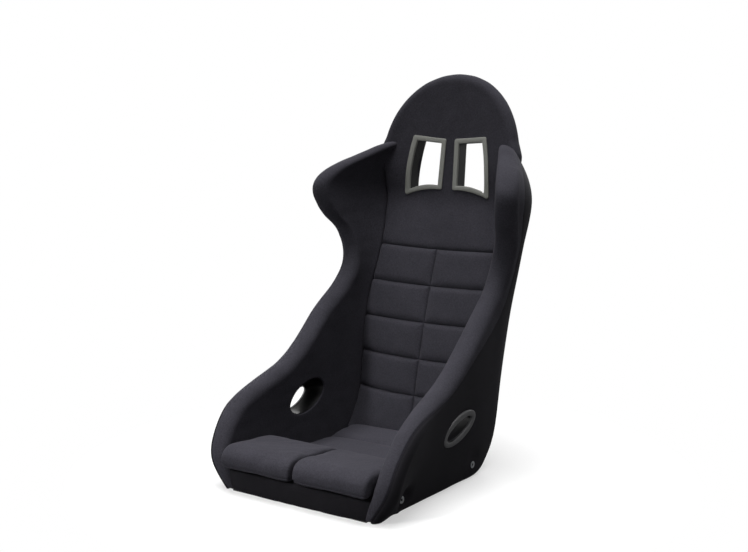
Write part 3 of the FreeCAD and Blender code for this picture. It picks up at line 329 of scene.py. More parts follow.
def wall(along, around):
    """Places on the left wall in millimetres: each cut's outline at around, set in the cut's own plane."""
    along, around = np.broadcast_arrays(np.asarray(along, float), np.asarray(around, float))
    size = {name: cut(name, along) for name in CUT_SIZES}
    run_y, run_z = size["rim_y"] - size["foot_y"], size["rim_z"] - size["foot_z"]
    length = np.hypot(run_y, run_z)
    centre = pair(size["rim_x"], length)
    crease = pair(size["crease_x"], size["crease_rise"])
    corner = pair(size["outer_x"], 0)
    radius = size["lip"]
    inner = touch_angle(crease, centre, radius, -1) + 2 * np.pi
    outer = touch_angle(corner, centre, radius, 1)
    on_circle = lambda angle: centre + radius[..., None] * np.stack([np.cos(angle), np.sin(angle)], -1)
    leave = on_circle(outer)
    wall_length = np.linalg.norm(corner - leave, axis=-1)
    rounded = np.minimum(CORNER_ROUND, CORNER_SHARE * wall_length)
    turned = 1 - rounded / wall_length
    share = around - np.floor(around)
    stretch = np.floor(around)
    tuck = crease - pair(0, TUCK_DEPTH * (1 - share))
    hollow = bow(crease, on_circle(inner), WALL_HOLLOW + 0 * share, share)
    lip = on_circle(inner + (outer - inner) * share)
    outside = bow(leave, corner, size["bulge"], share * turned)
    before = bow(leave, corner, size["bulge"], turned)
    after = corner - pair(rounded, 0)
    ease = share[..., None]
    edge = before * (1 - ease) ** 2 + 2 * corner * ease * (1 - ease) + after * ease ** 2
    flap = after + (pair(size["crease_x"], 0) - after) * ease
    flat = np.select([stretch[..., None] == kind for kind in (TUCK, CREASE, LIP, OUTER, CORNER, FLAP)],
                     [tuck, hollow, lip, outside, edge, flap], pair(size["crease_x"], 0 * length))
    rise_y, rise_z = flat[..., 1] * run_y / length, flat[..., 1] * run_z / length
    return np.stack([flat[..., 0], size["foot_y"] + rise_y, size["foot_z"] + rise_z], -1)


def even_places(first, last, step_mm):
    """Places along the wall, evenly spaced on the lip's crest, from one named cut to another."""
    fine = np.linspace(CUT_NUMBER[first], CUT_NUMBER[last], 1500)
    crest = wall(fine, LIP_CREST)
    run = np.concatenate([[0], np.cumsum(np.linalg.norm(np.diff(crest, axis=0), axis=1))])
    return np.interp(np.linspace(0, run[-1], int(run[-1] / step_mm) + 1), run, fine)


print("lip crest at the wing tip, mm", wall(CUT_NUMBER["wing_tip"], LIP_CREST).round(1))

# %% [markdown]
# ## From grids to pieces
#
# A panel is a grid of places with a quad in each cell. A cloth panel also has a thickness, so the grid
# is copied a little below itself, turned round, and joined to the first along every open edge: a closed
# skin. Panels that meet without a visible seam take their normals from the one surface they were cut
# from, so that the light runs across the joint unbroken.
# %% Grid and skin helpers
def quads_of(rows, columns):
    """The four corners of each cell of a grid whose places are numbered row by row."""
    number = np.arange(rows * columns).reshape(rows, columns)
    return np.stack([number[:-1, :-1], number[:-1, 1:], number[1:, 1:], number[1:, :-1]], -1).reshape(-1, 4)


def normals_of(points, faces):
    """Each place's normal: its faces' crossed diagonals added up and made one long."""
    corners = points[faces]
    crossed = np.cross(corners[:, 2] - corners[:, 0], corners[:, 3] - corners[:, 1])
    total = np.zeros_like(points)
    for corner in range(4):
        np.add.at(total, faces[:, corner], crossed)
    return total / np.maximum(np.linalg.norm(total, axis=1, keepdims=True), 1e-12)


def chosen(points, faces, normals, keep):
    """The kept faces with only their own places, numbered afresh, and those places' normals."""
    used, numbers = np.unique(faces[keep], return_inverse=True)
    return points[used], numbers.reshape(-1, 4), normals[used]


def area_of(points, faces):
    """A sheet's area in square metres: half the cross product of each face's two diagonals, summed."""
    diagonals = points[faces[:, 2:]] - points[faces[:, :2]]
    return float(np.linalg.norm(np.cross(diagonals[:, 0], diagonals[:, 1]), axis=1).sum() / 2 * MM * MM)


def closed(points, faces, normals, under):
    """A closed skin: the sheet, the places under it with faces turned round, and the rim between."""
    count = len(points)
    edges = np.stack([faces, np.roll(faces, -1, axis=1)], -1).reshape(-1, 2)
    lone = ~np.isin(edges[:, 0] * count + edges[:, 1], edges[:, 1] * count + edges[:, 0])
    start, end = edges[lone].T
    rim = np.stack([end, start, start + count, end + count], -1)
    skin = np.concatenate([faces, faces[:, ::-1] + count, rim])
    return np.concatenate([points, under]), skin, np.concatenate([normals, -normals])


def thickened(points, faces, normals, depth):
    """A sheet of cloth: closed by its own copy a depth below."""
    return closed(points, faces, normals, points - normals * depth)


def mirrored(points, faces, normals):
    """The same sheet on the seat's other side: X turned round, and the faces with it."""
    flip = np.array([-1, 1, 1])
    return points * flip, faces[:, ::-1], normals * flip


def piece(name, points, faces, material, slot, body="seat", stands_for=(), normals=None, crisp=None):
    """A shown piece in its place: its mesh in metres, finish, body and the CAD nodes it stands for. The slot
    argument is not used.

    Cloth that would reach under the floor is pressed flat on it.
    """
    mesh = bpy.data.meshes.new(name)
    on_floor = np.maximum(points, [-np.inf, -np.inf, 0])
    mesh.from_pydata(on_floor * MM, [], faces)
    mesh.update()
    mesh.shade_smooth()
    if normals is not None:
        mesh.normals_split_custom_set_from_vertices(normals)
    elif crisp:
        mesh.set_sharp_from_angle(angle=math.radians(crisp))
    mesh.materials.append(material)
    made = bpy.data.objects.new(name, mesh)
    bpy.context.scene.collection.objects.link(made)
    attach(made, body)
    if stands_for:
        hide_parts(*stands_for)
    return made


def ripples(points, size_mm, seed, waves=7):
    """Soft bumps from -1 to 1: a mean of sine waves of about one size, each with its own way and phase."""
    draw = np.random.default_rng(seed)
    ways = draw.normal(size=(waves, 3))
    ways /= np.linalg.norm(ways, axis=1, keepdims=True)
    pace = 2 * np.pi / (size_mm * draw.uniform(0.7, 1.4, waves))
    phase = draw.uniform(0, 2 * np.pi, waves)
    return np.sin(points @ (ways * pace[:, None]).T + phase).mean(axis=-1) * math.sqrt(2 * waves) / 2


print("a two by two grid has faces", quads_of(3, 3).tolist())

# %% [markdown]
# ## An oval opening in a wall
#
# The lap belt passes through an oval hole in each side. A square grid can't follow an oval, so a window
# of cells is taken out and rings of cells run from the window's edge to the oval. Each ring's places
# are blended along and round the wall, so they lie on it exactly. The oval's own places on the wall are
# found by Newton's method: step along and round until Y and Z are right.
# %% The opening's collar
LAP_MIDDLE = np.array([-38.0, 141.0])
LAP_TILT = math.radians(18)
LAP_AXES = np.array([62.0, 29.0])
MOUTH_MIDDLE = np.array([-36.0, 152.0])
MOUTH_AXES = np.array([68.0, 39.0])
COLLAR_RINGS = 9
WINDOW_SHARE = 1.4
NEWTON_ROUNDS = 25


def oval_of(mouth):
    """The oval's middle and half axes: the ring's at mouth 0, the wider inner mouth's at 1."""
    return LAP_MIDDLE + (MOUTH_MIDDLE - LAP_MIDDLE) * mouth, LAP_AXES + (MOUTH_AXES - LAP_AXES) * mouth


def oval(angles, shrink, mouth):
    """Y and Z of places on the oval, drawn in by a margin: both half axes less the margin."""
    way = np.array([[math.cos(LAP_TILT), math.sin(LAP_TILT)], [-math.sin(LAP_TILT), math.cos(LAP_TILT)]])
    middle, axes = oval_of(mouth)
    axes = axes - shrink
    return middle + np.stack([axes[0] * np.cos(angles), axes[1] * np.sin(angles)], -1) @ way


def oval_terms(yz, mouth):
    """Places given by Y and Z in the oval's own terms, in which its rim is a circle one across."""
    way = np.array([[math.cos(LAP_TILT), -math.sin(LAP_TILT)], [math.sin(LAP_TILT), math.cos(LAP_TILT)]])
    middle, axes = oval_of(mouth)
    return (yz - middle) @ way / axes


def on_wall(target, along, around):
    """Newton's method for where the wall has the target's Y and Z, from a first guess."""
    step = 1e-4
    for _ in range(NEWTON_ROUNDS):
        here = wall(along, around)[..., 1:]
        by_along = (wall(along + step, around)[..., 1:] - here) / step
        by_around = (wall(along, around + step)[..., 1:] - here) / step
        off = target - here
        area = by_along[..., 0] * by_around[..., 1] - by_along[..., 1] * by_around[..., 0]
        along = along + (off[..., 0] * by_around[..., 1] - off[..., 1] * by_around[..., 0]) / area
        around = around + (by_along[..., 0] * off[..., 1] - by_along[..., 1] * off[..., 0]) / area
    return along, around


def collar(along, around, shrink, hem, mouth):
    """A wall panel's sheet with the lap opening: the grid less a window, rings to the oval, and a hem.

    along and around are the grid's own coordinates, one array each. hem is (drawn in, sunk) pairs in
    millimetres: where the cloth goes past the oval's edge, in from it and through the wall.
    """
    rows, columns = len(along), len(around[0])
    grid_along = np.repeat(along[:, None], columns, axis=1)
    points = wall(grid_along, around)
    near = np.linalg.norm(oval_terms(points[..., 1:], mouth), axis=-1) < WINDOW_SHARE
    row, column = np.nonzero(near)
    i0, i1, j0, j1 = row.min() - 1, row.max() + 1, column.min() - 1, column.max() + 1
    loop = [(i0, j) for j in range(j0, j1)] + [(i, j1) for i in range(i0, i1)]
    loop += [(i1, j) for j in range(j1, j0, -1)] + [(i, j0) for i in range(i1, i0, -1)]
    loop = np.array(loop)
    start_along, start_around = grid_along[tuple(loop.T)], around[tuple(loop.T)]
    terms = oval_terms(points[tuple(loop.T)][:, 1:], mouth)
    angles = np.arctan2(terms[:, 1], terms[:, 0])
    edge = oval(angles, shrink, mouth)
    middle = ((i0 + i1) // 2, (j0 + j1) // 2)
    guess = (grid_along[middle] + 0 * angles, around[middle] + 0 * angles)
    end_along, end_around = on_wall(edge, *guess)
    shares = np.linspace(0, 1, COLLAR_RINGS + 1)[1:, None]
    rings = wall(start_along + (end_along - start_along) * shares,
                 start_around + (end_around - start_around) * shares)
    last_x = rings[-1, :, 0]
    hems = [np.column_stack([last_x + sunk, oval(angles, shrink + drawn, mouth)]) for drawn, sunk in hem]
    rings = np.concatenate([rings, np.array(hems)]) if hem else rings
    faces = quads_of(rows, columns).reshape(rows - 1, columns - 1, 4)
    inside = np.zeros(faces.shape[:2], bool)
    inside[i0:i1, j0:j1] = True
    count = rows * columns
    numbers = np.vstack([loop[:, 0] * columns + loop[:, 1],
                         count + np.arange(rings[..., 0].size).reshape(rings.shape[:2])])
    on = np.roll(numbers, -1, axis=1)
    ring_faces = np.stack([numbers[:-1], on[:-1], on[1:], numbers[1:]], -1).reshape(-1, 4)
    every = np.concatenate([points.reshape(-1, 3), rings.reshape(-1, 3)])
    row_of = np.concatenate([np.repeat(np.arange(rows - 1), columns - 1)[~inside.ravel()],
                             np.full(len(ring_faces), (i0 + i1) // 2)])
    return every, np.concatenate([faces[~inside], ring_faces]), row_of


print("lap opening half axes, mm", LAP_AXES)

# %% [markdown]
# ## Velour over the bolsters and wings
#
# The front panel runs from the crease beside the back pad, up the hollow inner wall, over the lip and
# down to a seam on the outside. Foam under cloth is never quite even, so slow ripples lift it by half
# a millimetre. The seam pulls the cloth in, and at the toe the panel is folded under.
# %% Bolster and wing panels
WALL_STEP = 4.5
JUST_INSIDE = 0.01
TUCK_CELLS, HOLLOW_CELLS, LIP_CELLS = 3, 30, 36
SEAM_PLACES = {
    "toe": 1.58, "knee": 1.61, "lap": 1.64, "thigh": 1.80, "flank": 1.95, "hip": 2.06, "buried": 2.2,
}
SEAM_FADE, SEAM_FADED = ("lap", "flank"), 0.85
SEAM_SINK, SEAM_REACH = 3.0, 2.6
VELOUR_SHRINK = 2
VELOUR_HEM = [(1.2, 0.4), (2.3, 1.6), (3.0, 3.6), (3.2, 6.5), (3.2, 10)]


def seam_round(along):
    """Where round the wall the long seam runs: over the lip at the toe, and just below it up the side."""
    places = np.interp(along, [CUT_NUMBER[name] for name in SEAM_PLACES], list(SEAM_PLACES.values()))
    return fair(places[:, None], FAIRING_STEPS)[:, 0]


def seam_depth(along, gap):
    """How deep the long seam pulls the cloth: a bell across it, which fades out up the side."""
    start, end = (CUT_NUMBER[name] for name in SEAM_FADE)
    fade = 1 - SEAM_FADED * np.clip((along - start) / (end - start), 0, 1)
    return SEAM_SINK * fade * np.exp(-(gap / SEAM_REACH) ** 2)


def stations(*stretches):
    """Even stations from stretch to stretch: each is (start, end, cells), and ends aren't doubled."""
    runs = [np.linspace(start, end, cells + 1)[1:] for start, end, cells in stretches]
    return np.concatenate([[stretches[0][0]], *runs])


wall_along = even_places("toe", "buried", WALL_STEP)
waist_row = int(np.abs(wall_along - CUT_NUMBER["waist"]).argmin())
seam = seam_round(wall_along)
front_round = stations((TUCK + JUST_INSIDE, CREASE, TUCK_CELLS), (CREASE, LIP, HOLLOW_CELLS))
to_seam = LIP + (seam - LIP)[:, None] * np.linspace(0, 1, LIP_CELLS + 1)[None, 1:]
front_around = np.hstack([np.repeat(front_round[None], len(wall_along), axis=0), to_seam])
front, front_faces, front_rows = collar(wall_along, front_around, VELOUR_SHRINK, VELOUR_HEM, 1)
print("velour sheet", front.shape, "rows", len(wall_along), "waist row", waist_row)

# %% [markdown]
# The sheet is then moved along its normals: in and out by slow ripples, and in by the seam and by the
# fold at the floor. On the seam itself both panels use one shared normal, square to the wall there, so
# that no line of shade runs beside the thread. The other side is the same sheet with X turned round.
# %% Velour panels, cut at the waist
COVER_THICKNESS = 2.5
FOLD_SINK, FOLD_REACH, FOLD_ROWS = 7.0, 9.0, 6
SEAM_STEP = 0.01
FAR_AWAY = 1e3

front_normals = normals_of(front, front_faces)
count = front_around.size
seam_gap = np.full(len(front), FAR_AWAY)
on_grid = wall(wall_along, seam)[:, None]
front_grid = front[:count].reshape(*front_around.shape, 3)
seam_gap[:count] = np.linalg.norm(front_grid - on_grid, axis=-1).ravel()
low = np.clip((front[:, 2] - CUTS["toe"][CUT_SIZES.index("foot_z")]) / FOLD_REACH, 0, 1)
fold = FOLD_SINK * (1 - np.sqrt(1 - (1 - low) ** 2))
fold = np.where(np.arange(len(front)) < FOLD_ROWS * front_around.shape[1], fold, 0)
lift = 0.55 * ripples(front, 95, 3) + 0.3 * ripples(front, 34, 4)
lift[:count] -= seam_depth(np.repeat(wall_along, front_around.shape[1]), seam_gap[:count])
front = front + front_normals * (lift - fold)[:, None]
front_normals = normals_of(front, front_faces)
across_seam = wall(wall_along, seam + SEAM_STEP) - wall(wall_along, seam - SEAM_STEP)
up_seam = wall(wall_along + SEAM_STEP, seam) - wall(wall_along - SEAM_STEP, seam)
seam_normals = np.cross(across_seam, up_seam)
seam_normals /= np.linalg.norm(seam_normals, axis=1, keepdims=True)
last_column = np.arange(len(wall_along)) * front_around.shape[1] + front_around.shape[1] - 1
seam_normals *= np.sign((seam_normals * front_normals[last_column]).sum(1, keepdims=True))
front_normals[last_column] = seam_normals

for hand, turn in (("left", False), ("right", True)):
    for part, keep in (("bolster", front_rows < waist_row), ("wing", front_rows >= waist_row)):
        panel = chosen(front, front_faces, front_normals, keep)
        if turn:
            panel = mirrored(*panel)
        points, faces, normals = thickened(*panel, COVER_THICKNESS)
        made = piece(f"{part}_cover_{hand}", points, faces, velour, "velour", "seat",
                     (f"{part}_cover_{hand}", f"{part}_foam_{hand}"), normals)
        print(made.name, "faces", len(made.data.polygons))

# %% [markdown]
# ## Side cloth
#
# Below the seam the outer wall is one plain panel, wrapped round the corner and back to the foot. Round
# each threaded bush the cloth is drawn in to just behind the bush's face, so that the plated face shows.
# %% Side panels
BUSH_FACE_X, BUSH_PLACES = 211.5, [(-235, 32), (55, 32)]
BUSH_CLEAR, BUSH_FADE, BUSH_SINK = 12, 16, 1.0
SIDE_SHRINK = 5
OUTER_CELLS, CORNER_CELLS, FLAP_CELLS = 44, 8, 4

under_round = stations((CORNER, FLAP, CORNER_CELLS), (FLAP, HEEL - JUST_INSIDE, FLAP_CELLS))
side_around = np.hstack([
    seam[:, None] + (CORNER - seam)[:, None] * np.linspace(0, 1, OUTER_CELLS + 1)[None, :-1],
    np.repeat(under_round[None], len(wall_along), axis=0),
])
side, side_faces, side_rows = collar(wall_along, side_around, SIDE_SHRINK, [], 0)
side_normals = normals_of(side, side_faces)
count = side_around.size
seam_gap = np.full(len(side), FAR_AWAY)
side_grid = side[:count].reshape(*side_around.shape, 3)
seam_gap[:count] = np.linalg.norm(side_grid - on_grid, axis=-1).ravel()
lift = 0.5 * ripples(side, 120, 5)
lift[:count] -= seam_depth(np.repeat(wall_along, side_around.shape[1]), seam_gap[:count])
side = side + side_normals * lift[:, None]
for bush_y, bush_z in BUSH_PLACES:
    bush_gap = np.hypot(side[:, 1] - bush_y, side[:, 2] - bush_z)
    pulled = np.exp(-(np.maximum(bush_gap - BUSH_CLEAR, 0) / BUSH_FADE) ** 2)
    side[:, 0] -= np.maximum(side[:, 0] - BUSH_FACE_X + BUSH_SINK, 0) * pulled
side_normals = normals_of(side, side_faces)
side_normals[np.arange(len(wall_along)) * side_around.shape[1]] = seam_normals
side_grid = side[:count].reshape(*side_around.shape, 3)
for hand, turn in (("left", False), ("right", True)):
    for part, under, keep, rows in (
        ("side_cover", "bolster_cover", side_rows < waist_row, slice(0, waist_row + 1)),
        ("wing_side_cover", "wing_cover", side_rows >= waist_row, slice(waist_row, None)),
    ):
        panel = chosen(side, side_faces, side_normals, keep)
        if turn:
            panel = mirrored(*panel)
        points, faces, normals = thickened(*panel, COVER_THICKNESS)
        made = piece(f"{part}_{hand}", points, faces, side_cloth, "side_cloth", "seat", (f"{part}_{hand}",),
                     normals)
        print(made.name, "flat area in square metres", round(area_of(*panel[:2]), 4))

# %% [markdown]
# ## The quilted back pad
#
# The pad's front follows one cubic in the middle plane and meets the walls at their crease. Each seam
# pulls the cloth down into a narrow valley, with a wider dent on both sides of it, and gathers small
# puckers along the thread. Between the seams the panels are only slightly domed. The grid's lines
# crowd near the seams, where the shape changes fast.
# %% Back line, crease and quilted pad
PAD_LINE = {
    "foot": (121, 85), "seam_five": (133, 144), "seam_four": (153, 230), "seam_three": (177, 316),
    "seam_two": (203, 402), "seam_one": (232, 488), "head_foot": (278, 600),
}
HEAD_FRONT_Y, HEAD_FOOT_Z = PAD_LINE["head_foot"]
HEAD_TILT = math.radians(7.2)
BEND_SOFTNESS = 3.0
SEAM_HEIGHTS = [PAD_LINE[name][1] for name in PAD_LINE if name.startswith("seam")]
PAD_CURVE = np.polyfit(*np.array(list(PAD_LINE.values()), float).T[::-1], 3)
crease_line = wall(np.linspace(CUT_NUMBER["hip"], CUT_NUMBER["neck"], 700), CREASE)


def front_line(z):
    """Y of the back's front in the middle: a soft minimum of the pad's cubic and the head's straight."""
    pad = np.polyval(PAD_CURVE, z)
    head = HEAD_FRONT_Y + (z - HEAD_FOOT_Z) * math.tan(HEAD_TILT)
    return -BEND_SOFTNESS * np.logaddexp(-pad / BEND_SOFTNESS, -head / BEND_SOFTNESS)


def front_normal(z):
    """The way out of the back's front: square to its slope, which a small step gives."""
    slope = front_line(z + 0.5) - front_line(z - 0.5)
    way = np.stack([0 * slope, -1 + 0 * slope, slope], -1)
    return way / np.linalg.norm(way, axis=-1, keepdims=True)


def crease_at(z):
    """X and Y of the left crease at a height."""
    return tuple(np.interp(z, crease_line[:, 2], crease_line[:, axis]) for axis in (0, 1))


def crowded(stops, cells, pull=0.75):
    """Places through the stops, crowded near each: an even run less a share of one sine wave."""
    runs = [np.array([stops[0]])]
    for start, end, count in zip(stops, stops[1:], cells):
        even = np.linspace(0, 1, count + 1)[1:]
        runs.append(start + (end - start) * (even - pull * np.sin(2 * np.pi * even) / (2 * np.pi)))
    return np.concatenate(runs)


def rolled(gap, reach):
    """A quarter circle's fall: nought from reach inward, and one at the edge, where gap is nought."""
    turn = np.clip(1 - gap / reach, 0, 1)
    return 1 - np.sqrt(1 - turn ** 2)


def valley(gap, narrow=3.4, wide=2.4):
    """How deep thread pulls the cloth: a sharp cleft and a soft dent round it, by distance from the seam."""
    return narrow * np.exp(-gap / 1.5) + wide * np.exp(-(gap / 8) ** 2)


def puckers(gap, along, seed, size_mm=9.0, height=0.4):
    """Small gathers square to a seam, fading away from it."""
    uneven = ripples(np.stack([along, gap, 0 * gap], -1), 45, seed)
    folds = np.sin(2 * np.pi * along / size_mm + 2.5 * uneven)
    return height * folds * np.exp(-gap / 6) * (0.6 + 0.4 * uneven)


print("back line in the middle, mm", front_line(np.array(SEAM_HEIGHTS, float)).round(1))

# %% [markdown]
# The pad's grid is one array of heights and shares of the half width. Its lift is added up from the
# domes, the valleys along the cross seams and the middle seam, the puckers and the rolled edge, and is
# then laid on the back's front line along that line's normal.
# %% Quilted pad
PAD_FOOT_Z = 48
SEAM_SAG = 4
PAD_EDGE_ROLL, PAD_EDGE_DROP, PAD_EDGE_OVERLAP = 9, 10, 1.5
PAD_DEPTH, PAD_DOME = 18, 2.6
PAD_ROW_CELLS, PAD_COLUMN_CELLS = [26] + [32] * 4, [62, 62]

stops = np.array([PAD_FOOT_Z] + SEAM_HEIGHTS)
row, share = np.meshgrid(crowded(stops, PAD_ROW_CELLS), crowded([-1, 0, 1], PAD_COLUMN_CELLS), indexing="ij")
z = row + SEAM_SAG * share ** 2
edge_x, edge_y = crease_at(z)
x = share * (edge_x + PAD_EDGE_OVERLAP)
gaps = np.abs(row[..., None] - np.array(SEAM_HEIGHTS))
across, middle = gaps.min(-1) * 1.05, np.abs(x)
gap = np.minimum(across, middle)
panel = np.clip(np.searchsorted(stops, row, side="right") - 1, 0, len(stops) - 2)
upward = 2 * (row - stops[panel]) / (stops[panel + 1] - stops[panel]) - 1
sideways = 2 * np.abs(share) - 1
dome = PAD_DOME * (1 - sideways ** 4) * (1 - upward ** 4)
lift = dome - valley(gap) + puckers(across, x, 11) + puckers(middle, z, 12)
lift += 0.35 * ripples(np.stack([x, 0 * x, z], -1), 40, 13)
y = front_line(z) + (edge_y - front_line(z)) * np.abs(share) ** 3
lift -= PAD_EDGE_DROP * rolled(np.abs(edge_x + PAD_EDGE_OVERLAP - np.abs(x)), PAD_EDGE_ROLL)
points = (np.stack([x, y, z], -1) + front_normal(z) * lift[..., None]).reshape(-1, 3)
faces = quads_of(*row.shape)
normals = normals_of(points, faces)
under = np.stack([x, y + PAD_DEPTH, z], -1).reshape(-1, 3)
made = piece("quilted_pad", *closed(points, faces, normals, under)[:2], velour, "velour", "seat",
             ("quilted_pad", "back_foam"), crisp=55)
print("quilted pad", row.shape)

# %% [markdown]
# ## Head and shoulder panel
#
# Above the top seam one padded plate runs on to the head. In its own plane the plate's outline is the
# wall's crease, a hidden shoulder behind the wings, and a round head. Its grid has three blocks of
# columns and rows round each belt slot, so a block left out is the slot. Over the head a Coons patch
# bends the grid from straight rows to the round top: a sum of its edges' blends less its corners'.
# %% Head plate
SLOT_CORNERS = {
    "top_inner": (12, 151), "top_outer": (102, 158), "low_outer": (119, 10), "low_inner": (15, 28),
}
UNDER_FRAME = 5.5
SHOULDER = [(70, 178), (92, 189), (116, 193), (136, 186), (150, 180.5)]
ARCH = [(180.5, 150), (175.5, 170), (168.5, 191), (160, 210), (148.5, 230), (133.5, 250), (114, 269),
        (87, 289), (46, 305.5), (0, 311.5)]
ARCH_PLACES, ARCH_FAIRING, LOW_ARCH = 401, 9, 120
SIDE_PLACES, SIDE_FAIRING = 200, 4
STEM_PLACES, STEM_CUT_BACK = 40, 4


def smooth_curve(places, count, width=5):
    """A smooth run through a few places: even steps along them, faired, ends held."""
    places = np.array(places, float)
    run = np.concatenate([[0], np.cumsum(np.linalg.norm(np.diff(places, axis=0), axis=1))])
    even = np.linspace(0, run[-1], count)
    line = np.stack([np.interp(even, run, places[:, axis]) for axis in (0, 1)], -1)
    return fair(line, width)


half_arch = np.array(ARCH, float)
both_arches = np.concatenate([half_arch, (half_arch * [-1, 1])[-2::-1]])
whole_arch = smooth_curve(both_arches, ARCH_PLACES, ARCH_FAIRING)
top_seam_rise = (SEAM_HEIGHTS[-1] - HEAD_FOOT_Z) / math.cos(HEAD_TILT)
stem_rise = np.linspace(top_seam_rise, SHOULDER[0][0], STEM_PLACES)
stem_x = crease_at(HEAD_FOOT_Z + stem_rise * math.cos(HEAD_TILT))[0] + PAD_EDGE_OVERLAP
side_rise = np.concatenate([stem_rise[:-STEM_CUT_BACK], [rise for rise, _ in SHOULDER]])
side_x = np.concatenate([stem_x[:-STEM_CUT_BACK], [x for _, x in SHOULDER]])
side_line = smooth_curve(np.stack([side_x, side_rise], -1), SIDE_PLACES, SIDE_FAIRING)
outline = np.concatenate([side_line[:-1], whole_arch, (side_line * [-1, 1])[-2::-1]])


def half_width(rise):
    """The plate's half width at a rise under the Coons patch."""
    right = np.concatenate([side_line[:-1], whole_arch[:LOW_ARCH]])
    return np.interp(rise, right[:, 1], right[:, 0])


def slot_low(x):
    """Rise of the slot's lower edge, under the middle of its frame."""
    (outer_x, outer_rise), (inner_x, inner_rise) = SLOT_CORNERS["low_outer"], SLOT_CORNERS["low_inner"]
    share = (np.clip(x, inner_x, outer_x) - inner_x) / (outer_x - inner_x)
    return inner_rise + UNDER_FRAME - share * (inner_rise - outer_rise)


def slot_high(x):
    """Rise of the slot's upper edge, under the middle of its frame."""
    (inner_x, inner_rise), (outer_x, outer_rise) = SLOT_CORNERS["top_inner"], SLOT_CORNERS["top_outer"]
    share = (np.clip(x, inner_x, outer_x) - inner_x) / (outer_x - inner_x)
    return inner_rise - UNDER_FRAME + share * (outer_rise - inner_rise)


def slot_outer(rise):
    """Half the distance between the slots' outer edges at a rise, a little past the slot's two ends too."""
    (top_x, top_rise), (low_x, low_rise) = SLOT_CORNERS["top_outer"], SLOT_CORNERS["low_outer"]
    share = np.clip((rise - low_rise) / (top_rise - low_rise), -0.3, 1.2)
    return low_x - UNDER_FRAME + (top_x - low_x) * share


print("plate's half width beside the slots, mm", half_width(np.array([20.0, 90.0, 160.0])).round(1))

# %% [markdown]
# Columns of the grid are counted, not measured: 0 to 1 lies between the two slots, 1 to 2 over a slot, and
# 2 to 3 outside it, each side of the middle. Between those limits a column keeps its share at every rise,
# so the columns lean with the slot's edges. Cells shrink toward the plate's edge, where it rolls over.
# %% The head plate's grid
WIDE_CELL, EDGE_CELLS = 4.6, [4, 3.4, 2.8, 2.2, 1.7, 1.3, 0.9, 0.6, 0.3]
STEM_ROWS, SLOT_ROWS, BRIDGE_ROWS = 26, 30, 7
INNER_COLUMNS, SLOT_COLUMNS = 5, 18
SLOT_INNER, SHOULDER_HALF, SEAM_HALF = 19.5, 178, 162
STRAIGHT_RISE = 180
ARCH_CORNER = 5


def narrowing(wide_cells):
    """Shares of a run whose cells are wide at first and shrink toward its end."""
    run = np.cumsum(np.concatenate([[WIDE_CELL] * wide_cells, EDGE_CELLS]))
    return run / run[-1]


def head_grid():
    """In-plane places of the plate's grid: (x, rise) for every row and column, and the slot cells."""
    inner = np.linspace(0, 1, INNER_COLUMNS + 1)
    over_slot = np.linspace(0, 1, SLOT_COLUMNS + 1)[1:]
    kinds = np.concatenate([inner, 1 + over_slot, 2 + narrowing(11)])
    kinds = np.concatenate([-kinds[:0:-1], kinds])
    size_of, sign = np.abs(kinds), np.sign(kinds)
    about = np.interp(size_of, [0, 1, 2, 3], [0, SLOT_INNER, SLOT_CORNERS["top_outer"][0], SHOULDER_HALF])
    low, high = slot_low(about), slot_high(about)
    foot = stem_rise[0] + SEAM_SAG * (about / SEAM_HALF) ** 2
    up_stem = (np.linspace(0, 1, STEM_ROWS + 1) ** 1.25)[:, None]
    up_slot, up_bridge = (np.linspace(0, 1, rows + 1)[1:, None] for rows in (SLOT_ROWS, BRIDGE_ROWS))
    rise = np.concatenate([foot + (low - foot) * up_stem, low + (high - low) * up_slot,
                           high + (STRAIGHT_RISE - high) * up_bridge])
    limits = np.stack([0 * rise, SLOT_INNER + 0 * rise, slot_outer(rise), half_width(rise)], -1)
    block = np.minimum(size_of.astype(int), 2)
    part = size_of - block
    start = np.take_along_axis(limits, np.broadcast_to(block, rise.shape)[..., None], -1)[..., 0]
    end = np.take_along_axis(limits, np.broadcast_to(block + 1, rise.shape)[..., None], -1)[..., 0]
    plain = np.stack([(start + (end - start) * part) * sign, rise], -1)
    corner = int(np.abs(whole_arch - np.array(ARCH[ARCH_CORNER])).sum(1).argmin())
    first = int(np.abs(whole_arch[:corner, 1] - STRAIGHT_RISE).argmin())
    up = np.concatenate([[0], narrowing(14)])

    def along_arch(low_number, high_number, shares):
        """Places on the arch between two of its numbered ones."""
        number = low_number + (high_number - low_number) * shares
        counted = np.arange(len(whole_arch))
        return np.stack([np.interp(number, counted, whole_arch[:, axis]) for axis in (0, 1)], -1)

    bottom = plain[-1]
    across = (bottom[:, 0] - bottom[0, 0]) / (bottom[-1, 0] - bottom[0, 0])
    right = along_arch(first, corner, up)
    right = right + (bottom[-1] - right[0]) * (1 - up[:, None])
    left = right * [-1, 1]
    top = along_arch(len(whole_arch) - 1 - corner, corner, across)
    v, u = up[:, None, None], across[None, :, None]
    patch = (1 - v) * bottom + v * top + (1 - u) * left[:, None] + u * right[:, None]
    patch -= (1 - u) * (1 - v) * bottom[0] + u * (1 - v) * bottom[-1] + (1 - u) * v * top[0] + u * v * top[-1]
    grid = np.concatenate([plain, patch[1:]])
    row_number = np.arange(len(grid) - 1)
    in_rows = (row_number >= STEM_ROWS) & (row_number < STEM_ROWS + SLOT_ROWS)
    middles = np.abs(kinds[1:] + kinds[:-1]) / 2
    slot_cells = in_rows[:, None] & ((middles > 1) & (middles < 2))[None]
    return grid, slot_cells


